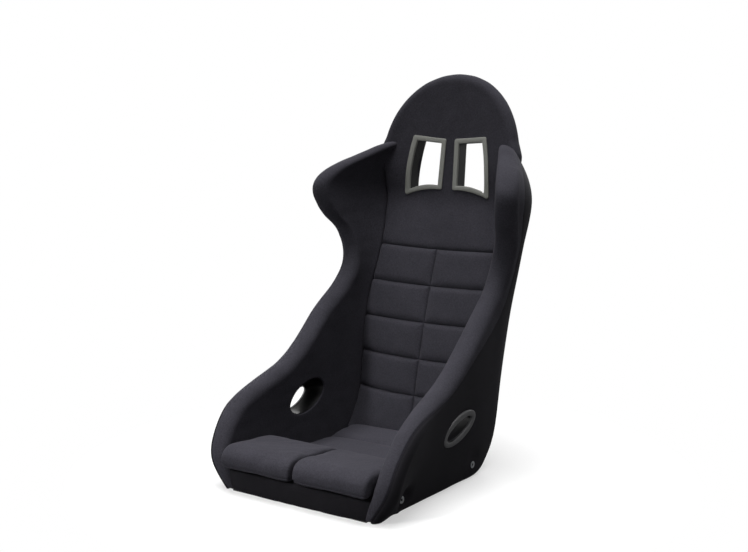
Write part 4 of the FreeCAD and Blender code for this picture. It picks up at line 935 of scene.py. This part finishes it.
def edge_gap(places):
    """Distance from in-plane places to the plate's outline."""
    flat = places.reshape(-1, 2)
    start, run = outline[:-1], np.diff(outline, axis=0)
    share = ((flat[:, None] - start) * run).sum(-1) / (run ** 2).sum(-1)
    near = start + run * np.clip(share, 0, 1)[..., None]
    return np.linalg.norm(flat[:, None] - near, axis=-1).min(1).reshape(places.shape[:-1])


def ease_step(value, low, high):
    """Nought below low, one above high, and a smooth rise between."""
    share = np.clip((value - low) / (high - low), 0, 1)
    return share * share * (3 - 2 * share)


print("grid rows up to the arch", STEM_ROWS + SLOT_ROWS + BRIDGE_ROWS)

# %% [markdown]
# The plate is dished: its edges wrap forward, more in front than behind, so it is thicker at the edge.
# Front and back are the same grid, laid out from the back's front line by a lift and by the thickness,
# and both roll off by a quarter circle at the outline.
# %% The head plate's skin
HEAD_THICKNESS, STEM_THICKNESS = 40, 20
HEAD_ROUND, STEM_ROUND = 20, 9
HEAD_WRAP, BACK_WRAP = 27, 0.3
WRAP_RISES, WRAP_HALF, WRAP_POWER = (-20, 90), 181, 2.3
THICKER_RISES, ROUNDER_RISES, FREE_RISES = (-113, 0), (60, 130), (20, 90)


def on_head(places, out, share=1.0):
    """Places in the seat from in-plane ones: up the plate's front line, and out from its dished front."""
    z = HEAD_FOOT_Z + places[..., 1] * math.cos(HEAD_TILT)
    sideways = (np.abs(places[..., 0]) / WRAP_HALF) ** WRAP_POWER
    wrap = HEAD_WRAP * ease_step(places[..., 1], *WRAP_RISES) * sideways
    base = np.stack([places[..., 0], front_line(z), z], -1)
    return base + front_normal(z) * (out + wrap * share)[..., None]


grid, slot_cells = head_grid()
gap = edge_gap(grid)
rise = grid[..., 1]
thickness = STEM_THICKNESS + (HEAD_THICKNESS - STEM_THICKNESS) * ease_step(rise, *THICKER_RISES)
reach = STEM_ROUND + (HEAD_ROUND - STEM_ROUND) * ease_step(rise, *ROUNDER_RISES)
height = HEAD_FOOT_Z + rise * math.cos(HEAD_TILT)
edge_x, edge_y = crease_at(height)
toward_crease = (edge_y - front_line(height)) * (1 - ease_step(rise, *FREE_RISES))
round_off = rolled(gap, reach)
seam_gap = rise - grid[0, :, 1]
middle_drop = thickness / 2
lift = -middle_drop * round_off - valley(seam_gap) + puckers(seam_gap, grid[..., 0], 14)
lift -= toward_crease * np.minimum(np.abs(grid[..., 0]) / edge_x, 1) ** 3
in_plane = np.dstack([grid, 0 * rise])
lift += 0.5 * ripples(in_plane, 90, 15) + 0.25 * ripples(in_plane, 30, 16)
head_front = on_head(grid, lift)
head_back = on_head(grid, -thickness + middle_drop * round_off, BACK_WRAP + (1 - BACK_WRAP) * round_off)
faces = quads_of(*grid.shape[:2])[~slot_cells.ravel()]
points = head_front.reshape(-1, 3)
skin = closed(points, faces, normals_of(points, faces), head_back.reshape(-1, 3))[:2]
made = piece("head_panel", *skin, velour, "velour", "seat", ("head_cover", "head_foam"), crisp=70)
print("head grid", grid.shape, "slot cells", int(slot_cells.sum()))

# %% [markdown]
# ## Belt slot frames and sleeves
#
# Each slot has a satin frame, which follows the cloth's front, a gloss sleeve through the plate and a
# second frame behind. All three are one closed run of places round a rounded outline, drawn in by
# different amounts at different heights.
# %% Slot trims
SLOT_BOWS = [0, 4, -5.5, 0]
SLOT_CORNER_RADIUS = 5.5
CORNER_STEPS = 9
FRAME_PROFILE = [(0, -3), (0, 2.0), (0.4, 2.5), (1.0, 2.7), (6.0, 2.8), (11.0, 2.7), (11.6, 2.5), (12, 2.0),
                 (12, -3)]
SLEEVE_PROFILE = [(10, 0.5), (12, 0.5), (8.5, 0.5 - HEAD_THICKNESS), (6.5, 0.5 - HEAD_THICKNESS)]
REAR_WIDENING = 3.5
SIDE_STEPS = 14


def slot_loop(drawn_in):
    """In-plane places round a slot: straight or bowed sides between rounded corners, all drawn in.

    A drawn-in side is its own line moved square to itself, so each new corner lies on the old one's
    half-way line. The corners' radius falls as the loop is drawn in, to a sharp one inside.
    """
    corners = np.array(list(SLOT_CORNERS.values()), float)
    before = corners - np.roll(corners, 1, axis=0)
    after = np.roll(corners, -1, axis=0) - corners
    before /= np.linalg.norm(before, axis=1, keepdims=True)
    after /= np.linalg.norm(after, axis=1, keepdims=True)
    half_turn = np.arccos((before * after).sum(1)) / 2
    inward = after - before
    inward /= np.linalg.norm(inward, axis=1, keepdims=True)
    radius = max(SLOT_CORNER_RADIUS - 0.4 * drawn_in, 1.0)
    centres = corners + inward * ((drawn_in + radius) / np.cos(half_turn))[:, None]
    start = np.arctan2(before[:, 0], -before[:, 1])
    turns = -2 * half_turn[:, None] * np.linspace(0, 1, CORNER_STEPS)
    angles = start[:, None] + turns
    arcs = centres[:, None] + radius * np.stack([np.cos(angles), np.sin(angles)], -1)
    ends = np.roll(arcs[:, 0], -1, axis=0)
    shares = np.linspace(0, 1, SIDE_STEPS + 1)[1:-1, None]
    outward = np.stack([-after[:, 1], after[:, 0]], -1)
    bow_shape = 4 * shares[:, 0] * (1 - shares[:, 0])
    bows = outward[:, None] * (np.array(SLOT_BOWS)[:, None] * bow_shape)[..., None]
    sides = arcs[:, -1][:, None] + (ends - arcs[:, -1])[:, None] * shares + bows
    return np.concatenate([arcs, sides], axis=1).reshape(-1, 2)


def ring_skin(rows):
    """Faces that join closed runs of places in turn, the last to the first, as a bent tube."""
    count, around = rows.shape[:2]
    number = np.arange(count * around).reshape(count, around)
    number = np.vstack([number, number[:1]])
    number = np.hstack([number, number[:, :1]])
    return np.stack([number[:-1, :-1], number[:-1, 1:], number[1:, 1:], number[1:, :-1]], -1).reshape(-1, 4)


REAR_PROFILE = [(width - REAR_WIDENING, -HEAD_THICKNESS - height) for width, height in FRAME_PROFILE]
print("slot loop places", slot_loop(0).shape, slot_loop(0)[:3].round(1).tolist())
for hand, sign in (("left", 1), ("right", -1)):
    for name, profile, material, slot in (
        ("shoulder_frame", FRAME_PROFILE, satin_frame, "slot_trim"),
        ("shoulder_rear_frame", REAR_PROFILE, satin_frame, "slot_trim"),
        ("shoulder_sleeve", SLEEVE_PROFILE, gloss_liner, "slot_liner"),
    ):
        rows = []
        for width, height in profile:
            wrap_share = 1 if height > -HEAD_THICKNESS / 2 else BACK_WRAP
            rows.append(on_head(slot_loop(width), np.array([float(height)]), wrap_share))
        rows = np.array(rows) * [sign, 1, 1]
        skin = ring_skin(rows)
        if (sign > 0) == (name == "shoulder_rear_frame"):
            skin = skin[:, ::-1]
        made = piece(f"{name}_{hand}", rows.reshape(-1, 3), skin, material, slot, "seat",
                     (f"{name}_{hand}",), crisp=50)
        print(made.name, "from", rows.min((0, 1)).round(1), "to", rows.max((0, 1)).round(1))

# %% [markdown]
# ## Lap slot trims
#
# The belt passes each side through a gloss oval sleeve with a broad ring round its outer end. The ring
# leans with the wall, by three turns in a row: the slot's tilt, a lean inward, and a slight yaw.
# %% Lap slot sleeve and ring
LAP_RING_WIDTH = 13
LAP_OUTER_X = 229
LAP_LEAN, LAP_YAW = math.radians(7), math.radians(-1)
OVAL_STEPS = 120
LAP_RING_PROFILE = [(15, -1.5), (15, 2.4), (14.4, 3.4), (13.2, 3.8), (9.5, 4), (3.5, 3.8), (1.2, 3),
                    (0.2, 1.9), (0, 0.4), (0, -2)]
SLEEVE_MOUTH, SLEEVE_WALL, MOUTH_DEPTH = 5.8, 2.0, 3.0
FLARE_STEPS, FLARE_POWER = 9, 0.8
OVAL_ANGLES = np.linspace(0, 2 * np.pi, OVAL_STEPS, endpoint=False)


def turn_matrix(axis, angle):
    """The matrix that turns places about one of the three axes."""
    return np.array(mathutils.Matrix.Rotation(angle, 3, axis))


def ring_loop(drawn_in, out):
    """Places round the ring: an oval in its own plane, turned by the tilt, the lean and the yaw."""
    axes = LAP_AXES - drawn_in
    out_of_plane = np.full(OVAL_STEPS, float(out))
    local = np.stack([out_of_plane, axes[0] * np.cos(OVAL_ANGLES), axes[1] * np.sin(OVAL_ANGLES)], -1)
    turned = turn_matrix("Z", LAP_YAW) @ turn_matrix("Y", LAP_LEAN) @ turn_matrix("X", LAP_TILT)
    return local @ turned.T + [LAP_OUTER_X, *LAP_MIDDLE]


def sleeve_loop(drawn_in, depth_share):
    """Places round the sleeve: an oval whose X runs from just behind the inner wall to the ring."""
    mouth_oval = oval(OVAL_ANGLES, SLEEVE_MOUTH, 1)
    guess = np.full(OVAL_STEPS, CUT_NUMBER["belt"] - 0.3)
    mouth_x = wall(*on_wall(mouth_oval, guess, 0 * guess + 0.5))[:, 0] + MOUTH_DEPTH
    flat = oval(OVAL_ANGLES, drawn_in, 1 - depth_share)
    return np.column_stack([mouth_x + (LAP_OUTER_X - mouth_x) * depth_share, flat])


ring_rows = np.array([ring_loop(LAP_RING_WIDTH - width, height) for width, height in LAP_RING_PROFILE])
flare = [(SLEEVE_MOUTH + (LAP_RING_WIDTH - SLEEVE_MOUTH) * share ** FLARE_POWER, share)
         for share in np.linspace(1, 0, FLARE_STEPS)]
sleeve_rows = np.array([sleeve_loop(drawn, share) for drawn, share in flare]
                       + [sleeve_loop(drawn - SLEEVE_WALL, share) for drawn, share in flare[::-1]])
for hand, sign in (("left", 1), ("right", -1)):
    for name, rows, material, slot in (
        ("lap_ring", ring_rows, satin_ring, "slot_trim"),
        ("lap_sleeve", sleeve_rows, gloss_liner, "slot_liner"),
    ):
        skin = ring_skin(rows)
        skin = skin[:, ::-1] if (sign > 0) == (name == "lap_sleeve") else skin
        piece(f"{name}_{hand}", (rows * [sign, 1, 1]).reshape(-1, 3), skin, material, slot, "seat",
              (f"{name}_{hand}",), crisp=50)
print("lap ring rows", ring_rows.shape, "sleeve mouth x", sleeve_rows[FLARE_STEPS - 1, ::30, 0].round(1))

# %% [markdown]
# ## Front lip and rear cover
#
# The lip under the cushion is one plain panel bent over a foam block. Behind, one panel closes the
# shell between the side panels' hems, a little crowned, with the hems' seams on both sides.
# %% Front lip
LIP_PROFILE = [(-262, 50), (-300, 51.6), (-312, 51), (-319, 48.5), (-323.4, 44), (-325, 38), (-325.2, 24),
               (-324.4, 12), (-321.5, 5.5), (-316.5, 1.8), (-309, 0.7), (-280, 0.6)]
LIP_END_X, LIP_SWEEP, LIP_SWEEP_POWER = 194.0, 14.0, 6
LIP_ROWS, LIP_COLUMNS = 60, 90


def strip_sheet(left_edge, right_edge, columns, crown):
    """A sheet between two edges: straight across, plus a crown that is widest in the middle."""
    share = np.linspace(0, 1, columns)[None, :, None]
    sheet = left_edge[:, None] + (right_edge - left_edge)[:, None] * share
    return sheet + crown[:, None] * 4 * share * (1 - share)


profile = smooth_curve(LIP_PROFILE, LIP_ROWS, 1)
edge_x = np.full(len(profile), LIP_END_X)
left_edge = np.stack([-edge_x, *profile.T], -1)
right_edge = left_edge * [-1, 1, 1]
crown = np.zeros((len(profile), 3))
sheet = strip_sheet(left_edge, right_edge, LIP_COLUMNS, crown).reshape(-1, 3)
sheet[:, 1] += LIP_SWEEP * np.abs(sheet[:, 0] / LIP_END_X) ** LIP_SWEEP_POWER
faces = quads_of(LIP_ROWS, LIP_COLUMNS)
normals = normals_of(sheet, faces)
sheet = sheet + normals * (0.6 * ripples(sheet, 70, 21) + 0.3 * ripples(sheet, 28, 22))[:, None]
skin = thickened(sheet, faces, normals_of(sheet, faces), COVER_THICKNESS)[:2]
made = piece("front_lip", *skin, side_cloth, "side_cloth", "seat", ("front_lip_cover", "front_lip_foam"),
             crisp=60)
print("front lip places", sheet.shape)

# %% [markdown]
# The rear panel spans the two hems. Its crown points backward, square to the hem's own slope, and at each
# edge the seam draws the cloth in.
# %% Rear panel
REAR_CROWN, REAR_LAP, REAR_HALF = 4, 2.0, 170
REAR_ROWS, REAR_COLUMNS = 150, 100
REAR_TOP_GAP = 4
HEM_SINK, HEM_REACH = 2.2, 5

hem_along = np.linspace(CUT_NUMBER["hip"], CUT_NUMBER["wing_tip"], REAR_ROWS)
hem = wall(hem_along, HEEL)
hem = hem[hem[:, 2] < HEAD_FOOT_Z - REAR_TOP_GAP]
run = np.gradient(hem, axis=0)
back_way = np.stack([0 * run[:, 0], run[:, 2], -run[:, 1]], -1)
back_way /= np.linalg.norm(back_way, axis=1, keepdims=True)
hem = hem + [REAR_LAP, 0, 0]
sheet = strip_sheet(hem * [-1, 1, 1], hem, REAR_COLUMNS, back_way * REAR_CROWN).reshape(-1, 3)
faces = quads_of(len(hem), REAR_COLUMNS)
normals = normals_of(sheet, faces)
from_hem = (1 - np.abs(np.tile(np.linspace(-1, 1, REAR_COLUMNS), len(hem)))) * REAR_HALF
lift = 0.8 * ripples(sheet, 110, 23) - HEM_SINK * np.exp(-(from_hem / HEM_REACH) ** 2)
sheet = sheet + normals * lift[:, None]
normals = normals_of(sheet, faces)
if normals[len(normals) // 2, 1] < 0:
    faces, normals = faces[:, ::-1], -normals
skin = thickened(sheet, faces, normals, COVER_THICKNESS)[:2]
made = piece("rear_panel", *skin, side_cloth, "side_cloth", "seat", ("rear_cover",), crisp=60)
print("rear panel rows", len(hem))

# %% [markdown]
# ## The cushion, filled
#
# The thigh pads and the seat cushion are bags of foam. Each starts as a plain closed form a little
# smaller than the finished one. Its copy is given even cells, and Blender's cloth blows it up from
# within for twenty frames, which rounds it the way a filled bag is round. The movement is capped, so it
# stays in its place between the walls. Seams and the sewn welt are pressed into the result.
# %% The wall beside a cushion
SAMPLES_ALONG, SAMPLES_ROUND, NEAR_CREST = 260, 70, 1.4

inner_wall = wall(np.linspace(0, CUT_NUMBER["tail"], SAMPLES_ALONG)[:, None],
                  np.linspace(TUCK + JUST_INSIDE, NEAR_CREST, SAMPLES_ROUND))
inner_wall = inner_wall.reshape(-1, 3)


def wall_x_at(y, z):
    """X of the left inner wall beside places given by Y and Z: the nearest of many samples of it."""
    away = (y[:, None] - inner_wall[:, 1]) ** 2 + (z[:, None] - inner_wall[:, 2]) ** 2
    return inner_wall[away.argmin(1), 0]


print("inner wall samples", inner_wall.shape)

# %% [markdown]
# The filling itself: a voxel remesh gives the cloth even cells, and the start is drawn in a little, to
# leave room for the pressure. The move of every place is capped. Two rounds of smoothing and one
# subdivision take the last corners off.
# %% Cloth that fills a form
CLOTH_FRAMES = 20
CLOTH_PRESSURE = 4.0
CLOTH_CELL = 4.5
SHRINK = 1.0
CAP = 2.2


def vectors_of(items, name):
    """An attribute of a mesh's vertices as one array of three columns."""
    values = np.empty(len(items) * 3)
    items.foreach_get(name, values)
    return values.reshape(-1, 3)


def filled(name, points, faces):
    """The form blown up by cloth pressure: even cells, twenty frames, movement capped, one subdivision."""
    mesh = bpy.data.meshes.new(name + "_form")
    mesh.from_pydata(points * MM, [], faces)
    mesh.update()
    form = bpy.data.objects.new(name + "_form", mesh)
    bpy.context.scene.collection.objects.link(form)
    remesh = form.modifiers.new("even_cells", "REMESH")
    remesh.mode = "VOXEL"
    remesh.voxel_size = CLOTH_CELL * MM
    graph = bpy.context.evaluated_depsgraph_get()
    even = bpy.data.meshes.new_from_object(form.evaluated_get(graph))
    form.modifiers.clear()
    form.data = even
    start = vectors_of(even.vertices, "co") - vectors_of(even.vertices, "normal") * SHRINK * MM
    even.vertices.foreach_set("co", start.ravel())
    even.update()
    end = start
    cloth = form.modifiers.new("filled", "CLOTH")
    settings = cloth.settings
    settings.quality = 6
    settings.mass = 0.3
    settings.tension_stiffness = settings.compression_stiffness = 12
    settings.shear_stiffness = 5
    settings.bending_stiffness = 0.6
    settings.use_pressure = True
    settings.uniform_pressure_force = CLOTH_PRESSURE
    settings.effector_weights.gravity = 0
    cloth.point_cache.frame_start = 1
    cloth.point_cache.frame_end = CLOTH_FRAMES
    for frame_number in range(1, CLOTH_FRAMES + 1):
        bpy.context.scene.frame_set(frame_number)
    graph = bpy.context.evaluated_depsgraph_get()
    blown = bpy.data.meshes.new_from_object(form.evaluated_get(graph))
    end = vectors_of(blown.vertices, "co")
    form.modifiers.clear()
    bpy.context.scene.frame_set(1)
    moved = end - start
    far = np.linalg.norm(moved, axis=1, keepdims=True)
    moved *= np.minimum(1, CAP * MM / np.maximum(far, 1e-9))
    even.vertices.foreach_set("co", (start + moved).ravel())
    even.update()
    print(name, "cells", len(even.polygons), "greatest move, mm", round(float(far.max()) / MM, 2))
    smooth = form.modifiers.new("evened", "SMOOTH")
    smooth.iterations = 2
    smooth.factor = 0.5
    finer = form.modifiers.new("finer", "SUBSURF")
    finer.levels = finer.render_levels = 1
    graph = bpy.context.evaluated_depsgraph_get()
    done = bpy.data.meshes.new_from_object(form.evaluated_get(graph))
    corners = np.empty(len(done.loops), int)
    done.loops.foreach_get("vertex_index", corners)
    bpy.data.objects.remove(form)
    return vectors_of(done.vertices, "co") / MM, corners.reshape(-1, 4), vectors_of(done.vertices, "normal")


print("cloth frames", CLOTH_FRAMES, "greatest move allowed, mm", CAP)

# %% [markdown]
# A thigh pad is its side outline carried across the seat and drawn in near both ends, with the outer end
# lying along the wall. A groove round the front leaves the sewn welt standing.
# %% Thigh pads
THIGH_OUTLINE = [
    (-343, 54), (-260, 50), (-172, 47), (-125, 29), (-114, 29), (-113, 40), (-117, 50), (-140, 71.5),
    (-158, 82.5), (-172, 89), (-190, 93.5), (-220, 97.5), (-290, 103.5), (-314, 104), (-330, 100.5),
    (-340, 92), (-345.5, 80), (-346, 68), (-345.5, 60),
]
END_INSETS = [(0.0, 8.5), (0.6, 5.6), (1.7, 3.3), (3.5, 1.6), (6.5, 0.6), (11.0, 0.1), (18.0, 0.0)]
PAD_COLUMNS, OUTLINE_PLACES, OUTLINE_FAIRING = 22, 150, 2
THIGH_INNER_X, THIGH_OUTER_X, WALL_CLEARANCE = 1.2, 194, 1.0
WELT_Z, WELT_WIDTH, WELT_SINK, WELT_FRONT = 62.5, 1.7, 2.6, (325, 334)
MIDDLE_CLEARANCE = 0.6


def closed_outline(places, count, width):
    """A closed outline through the places: even steps round it, faired with both ends wrapped."""
    loop = np.array(places + places[:1], float)
    run = np.concatenate([[0], np.cumsum(np.linalg.norm(np.diff(loop, axis=0), axis=1))])
    even = np.linspace(0, run[-1], count, endpoint=False)
    line = np.stack([np.interp(even, run, loop[:, axis]) for axis in (0, 1)], -1)
    return fair(np.concatenate([line] * 3), width)[count:2 * count]


def crosswise(outline, columns):
    """A closed form carried across the seat: the outline at each column, drawn in near both ends."""
    run = np.roll(outline, -1, axis=0) - np.roll(outline, 1, axis=0)
    inward = np.stack([-run[:, 1], run[:, 0]], -1) / np.linalg.norm(run, axis=1, keepdims=True)
    inward *= np.sign((inward * (outline.mean(0) - outline)).sum())
    outer = np.minimum(wall_x_at(outline[:, 0], outline[:, 1]) - WALL_CLEARANCE, THIGH_OUTER_X)
    ends = np.array(END_INSETS)
    middle = np.linspace(0, 1, columns)[1:-1]
    rows = [(0, offset, inset) for offset, inset in ends] + [(share, 0, 0) for share in middle]
    rows += [(1, -offset, inset) for offset, inset in ends[::-1]]
    reach = ends[-1, 0]
    made = []
    for share, offset, inset in rows:
        start, stop = THIGH_INNER_X + reach, outer - reach
        past_end = {0: offset - reach, 1: offset + reach}.get(share, 0)
        x = start + (stop - start) * share + past_end
        made.append(np.column_stack([x, outline + inward * inset]))
    made = np.array(made)
    number = np.arange(made[..., 0].size).reshape(made.shape[:2])
    on = np.roll(number, -1, axis=1)
    skin = np.stack([number[:-1], on[:-1], on[1:], number[1:]], -1).reshape(-1, 4).tolist()
    return made.reshape(-1, 3), skin + [number[0, ::-1].tolist(), number[-1].tolist()]


thigh_outline = closed_outline(THIGH_OUTLINE, OUTLINE_PLACES, OUTLINE_FAIRING)
places, faces, normals = filled("thigh_pad", *crosswise(thigh_outline, PAD_COLUMNS))
groove = np.exp(-((places[:, 2] - WELT_Z) / WELT_WIDTH) ** 2) * ease_step(-places[:, 1], *WELT_FRONT)
lift = 0.45 * ripples(places, 55, 31) + 0.25 * ripples(places, 24, 32) - WELT_SINK * groove
places = places + normals * lift[:, None]
places[:, 0] = np.maximum(places[:, 0], MIDDLE_CLEARANCE)
for hand, sign in (("left", 1), ("right", -1)):
    skin = faces if sign > 0 else faces[:, ::-1]
    made = piece(f"thigh_pad_{hand}", places * [sign, 1, 1], skin, velour, "velour", "cushion",
                 (f"thigh_pad_{hand}",))
print("thigh pad reaches", places.min(0).round(1), places.max(0).round(1))

# %% [markdown]
# The seat cushion is a bag through sections from front to rear. One sewn channel crosses its top, bowed a
# little forward at the sides.
# %% Seat cushion
CUSHION_OUTLINE = {
    "edge": (-112, 43.5), "front_row": (-98, 45.5), "middle_row": (23, 46), "channel": (35, 45),
    "rear_row": (47, 49), "rear_crest": (104, 60), "rear_edge": (117, 61),
}
CUSHION_FLOOR_Z = 28
CUSHION_LIMIT_X = 184
CUSHION_ROWS, CUSHION_AROUND = 46, 96
SQUARENESS = 0.42
CHANNEL_Y, CHANNEL_BOW, CHANNEL_HALF = 35, 5, 170
TOP_RISES = (36, 42)


def bag(sections, around):
    """A closed form through sections along Y, softly squared: (y, inner x, outer x, low z, high z) each."""
    angles = np.linspace(0, 2 * np.pi, around, endpoint=False)
    unit_x = np.sign(np.cos(angles)) * np.abs(np.cos(angles)) ** SQUARENESS
    unit_z = np.sign(np.sin(angles)) * np.abs(np.sin(angles)) ** SQUARENESS
    rows = []
    for y, inner, outer, low, high in sections:
        x = (inner + outer) / 2 + (outer - inner) / 2 * unit_x
        z = (low + high) / 2 + (high - low) / 2 * unit_z
        rows.append(np.stack([x, np.full(around, y), z], -1))
    rows = np.array(rows)
    number = np.arange(len(rows) * around).reshape(len(rows), around)
    turned = np.roll(number, -1, axis=1)
    skin = np.stack([number[:-1], number[1:], turned[1:], turned[:-1]], -1).reshape(-1, 4).tolist()
    return rows.reshape(-1, 3), skin + [number[0].tolist(), number[-1, ::-1].tolist()]


def spread(table, count):
    """Rows of a size table at even steps from its first to its last, by straight blends, then faired."""
    rows = np.array(list(table.values()), float)
    even = np.linspace(rows[0, 0], rows[-1, 0], count)
    return fair(np.stack([even] + [np.interp(even, rows[:, 0], column) for column in rows.T[1:]], -1), 2)


cushion_rows = spread(CUSHION_OUTLINE, CUSHION_ROWS)
beside = wall_x_at(cushion_rows[:, 0], cushion_rows[:, 1])
outer_x = np.minimum(beside - WALL_CLEARANCE, CUSHION_LIMIT_X)
sections = [(y, -outer, outer, CUSHION_FLOOR_Z, high) for (y, high), outer in zip(cushion_rows, outer_x)]
places, faces, normals = filled("seat_cushion", *bag(sections, CUSHION_AROUND))
top = ease_step(places[:, 2], *TOP_RISES)
channel = np.abs(places[:, 1] - CHANNEL_Y + CHANNEL_BOW * (places[:, 0] / CHANNEL_HALF) ** 2)
sewn = -valley(channel, 3.0, 2.6) + puckers(channel, places[:, 0], 34)
lift = 0.6 * ripples(places, 60, 33) + top * sewn
places = places + normals * lift[:, None]
made = piece("seat_cushion", places, faces, velour, "velour", "cushion", ("seat_cushion",))
print("seat cushion reaches", places.min(0).round(1), places.max(0).round(1))

# %% [markdown]
# ## Light and floor
#
# The room is white to the camera and in reflections, and gives a low even light. One large lamp overhead
# does most of the work, and three smaller ones keep the front, the seat's right and the back from going
# black.
# %% Room and lamps
ROOM_LIGHT = 0.22

world = bpy.data.worlds.new("white_room")
bpy.context.scene.world = world
world.use_nodes = True
tree = world.node_tree
tree.nodes.clear()
seen = add(tree, "ShaderNodeLightPath")
white = add(tree, "ShaderNodeMath", None, {0: (seen, "Is Camera Ray"), 1: (seen, "Is Glossy Ray")},
            operation="MAXIMUM")
white = add(tree, "ShaderNodeMath", None, {0: (white, 0), 1: (seen, "Is Transmission Ray")},
            operation="MAXIMUM")
level = add(tree, "ShaderNodeMapRange", {"To Min": ROOM_LIGHT, "To Max": 1.0}, {"Value": (white, 0)})
back = add(tree, "ShaderNodeBackground", {"Color": tone("#ffffff")}, {"Strength": (level, "Result")})
add(tree, "ShaderNodeOutputWorld", None, {"Surface": (back, "Background")})


def lamp(name, place, aim, width, power, spread):
    """A square soft light at a place in metres, facing its aim, with a beam a spread in degrees wide."""
    light = bpy.data.lights.new(name, "AREA")
    light.size = width
    light.energy = power
    light.spread = math.radians(spread)
    made = bpy.data.objects.new(name, light)
    made.location = place
    away = np.array(aim) - np.array(place)
    flat = math.hypot(away[0], away[1])
    made.rotation_euler = (math.atan2(flat, -away[2]), 0, math.atan2(-away[0], away[1]))
    bpy.context.scene.collection.objects.link(made)


lamp("front", (-1.3, -4.0, 2.6), (0, -0.3, 0.1), 0.9, 2.2, 18)
lamp("top", (-0.1, 0.0, 6.0), (0, 0, 0.4), 3.4, 440, 180)
lamp("left", (-3.6, -0.9, 1.9), (0.1, 0, 0.5), 1.2, 18, 180)
lamp("back", (-1.6, 3.8, 2.2), (0, 0.2, 0.4), 1.8, 70, 180)
print("lamps", sorted(light.name for light in bpy.data.lights))

# %% [markdown]
# The floor is white to the camera, but a plain grey to the light that bounces off it, because a white one
# would light the sides from below. Seen by the camera it also glows, half under the seat and fully away
# from it, so the shadow near the seat stays soft and fades out into the white room.
# %% Floor
FLOOR_REACH = 40

floor_material, tree, shader, place = blank("white_floor", Roughness=0.9)
seen = add(tree, "ShaderNodeLightPath")
own = add(tree, "ShaderNodeMix", {6: tone("#6a6a6a"), 7: tone("#fbfbfb")}, {0: (seen, "Is Camera Ray")},
          data_type="RGBA")
tree.links.new(own.outputs[2], shader.inputs["Base Color"])
away = add(tree, "ShaderNodeVectorMath", None, {0: (place, "Object")}, operation="LENGTH")
fade = add(tree, "ShaderNodeMapRange", {"From Min": 0.38, "From Max": 0.72, "To Min": 0.5},
           {"Value": (away, "Value")})
plain = add(tree, "ShaderNodeMath", None, {0: (fade, "Result"), 1: (seen, "Is Camera Ray")},
            operation="MULTIPLY")
glow = add(tree, "ShaderNodeEmission", {"Color": tone("#ffffff"), "Strength": 1.0})
mixed = add(tree, "ShaderNodeMixShader", None, {0: (plain, 0), 1: (shader, "BSDF"), 2: (glow, "Emission")})
out = next(node for node in tree.nodes if node.bl_idname == "ShaderNodeOutputMaterial")
tree.links.new(mixed.outputs[0], out.inputs["Surface"])
mesh = bpy.data.meshes.new("floor")
corners = np.array([[-1, -1, 0], [1, -1, 0], [1, 1, 0], [-1, 1, 0]]) * FLOOR_REACH
mesh.from_pydata(corners, [], [[0, 1, 2, 3]])
mesh.materials.append(floor_material)
floor = bpy.data.objects.new("floor", mesh)
bpy.context.scene.collection.objects.link(floor)
print("floor half side, m", FLOOR_REACH)

# %% [markdown]
# ## The frame's own pieces
#
# The tubes, plates, bushes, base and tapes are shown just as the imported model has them, so they only need
# a finish each.
# %% Finishes of the CAD pieces that show as they are
NODE_FINISH = {
    "frame_steel": painted_steel, "plate_steel": painted_steel, "zinc": zinc_plate, "foam": bare_foam,
    "velour": velour, "side_cloth": side_cloth, "base_vinyl": base_vinyl, "slot_trim": satin_frame,
    "slot_liner": gloss_liner, "hook_loop": hook_tape,
}
for entry in frame["record"]["subparts"]:
    mesh = frame["nodes"][entry["node"]].data
    mesh.materials.clear()
    mesh.materials.append(NODE_FINISH[entry["material_slot"]])
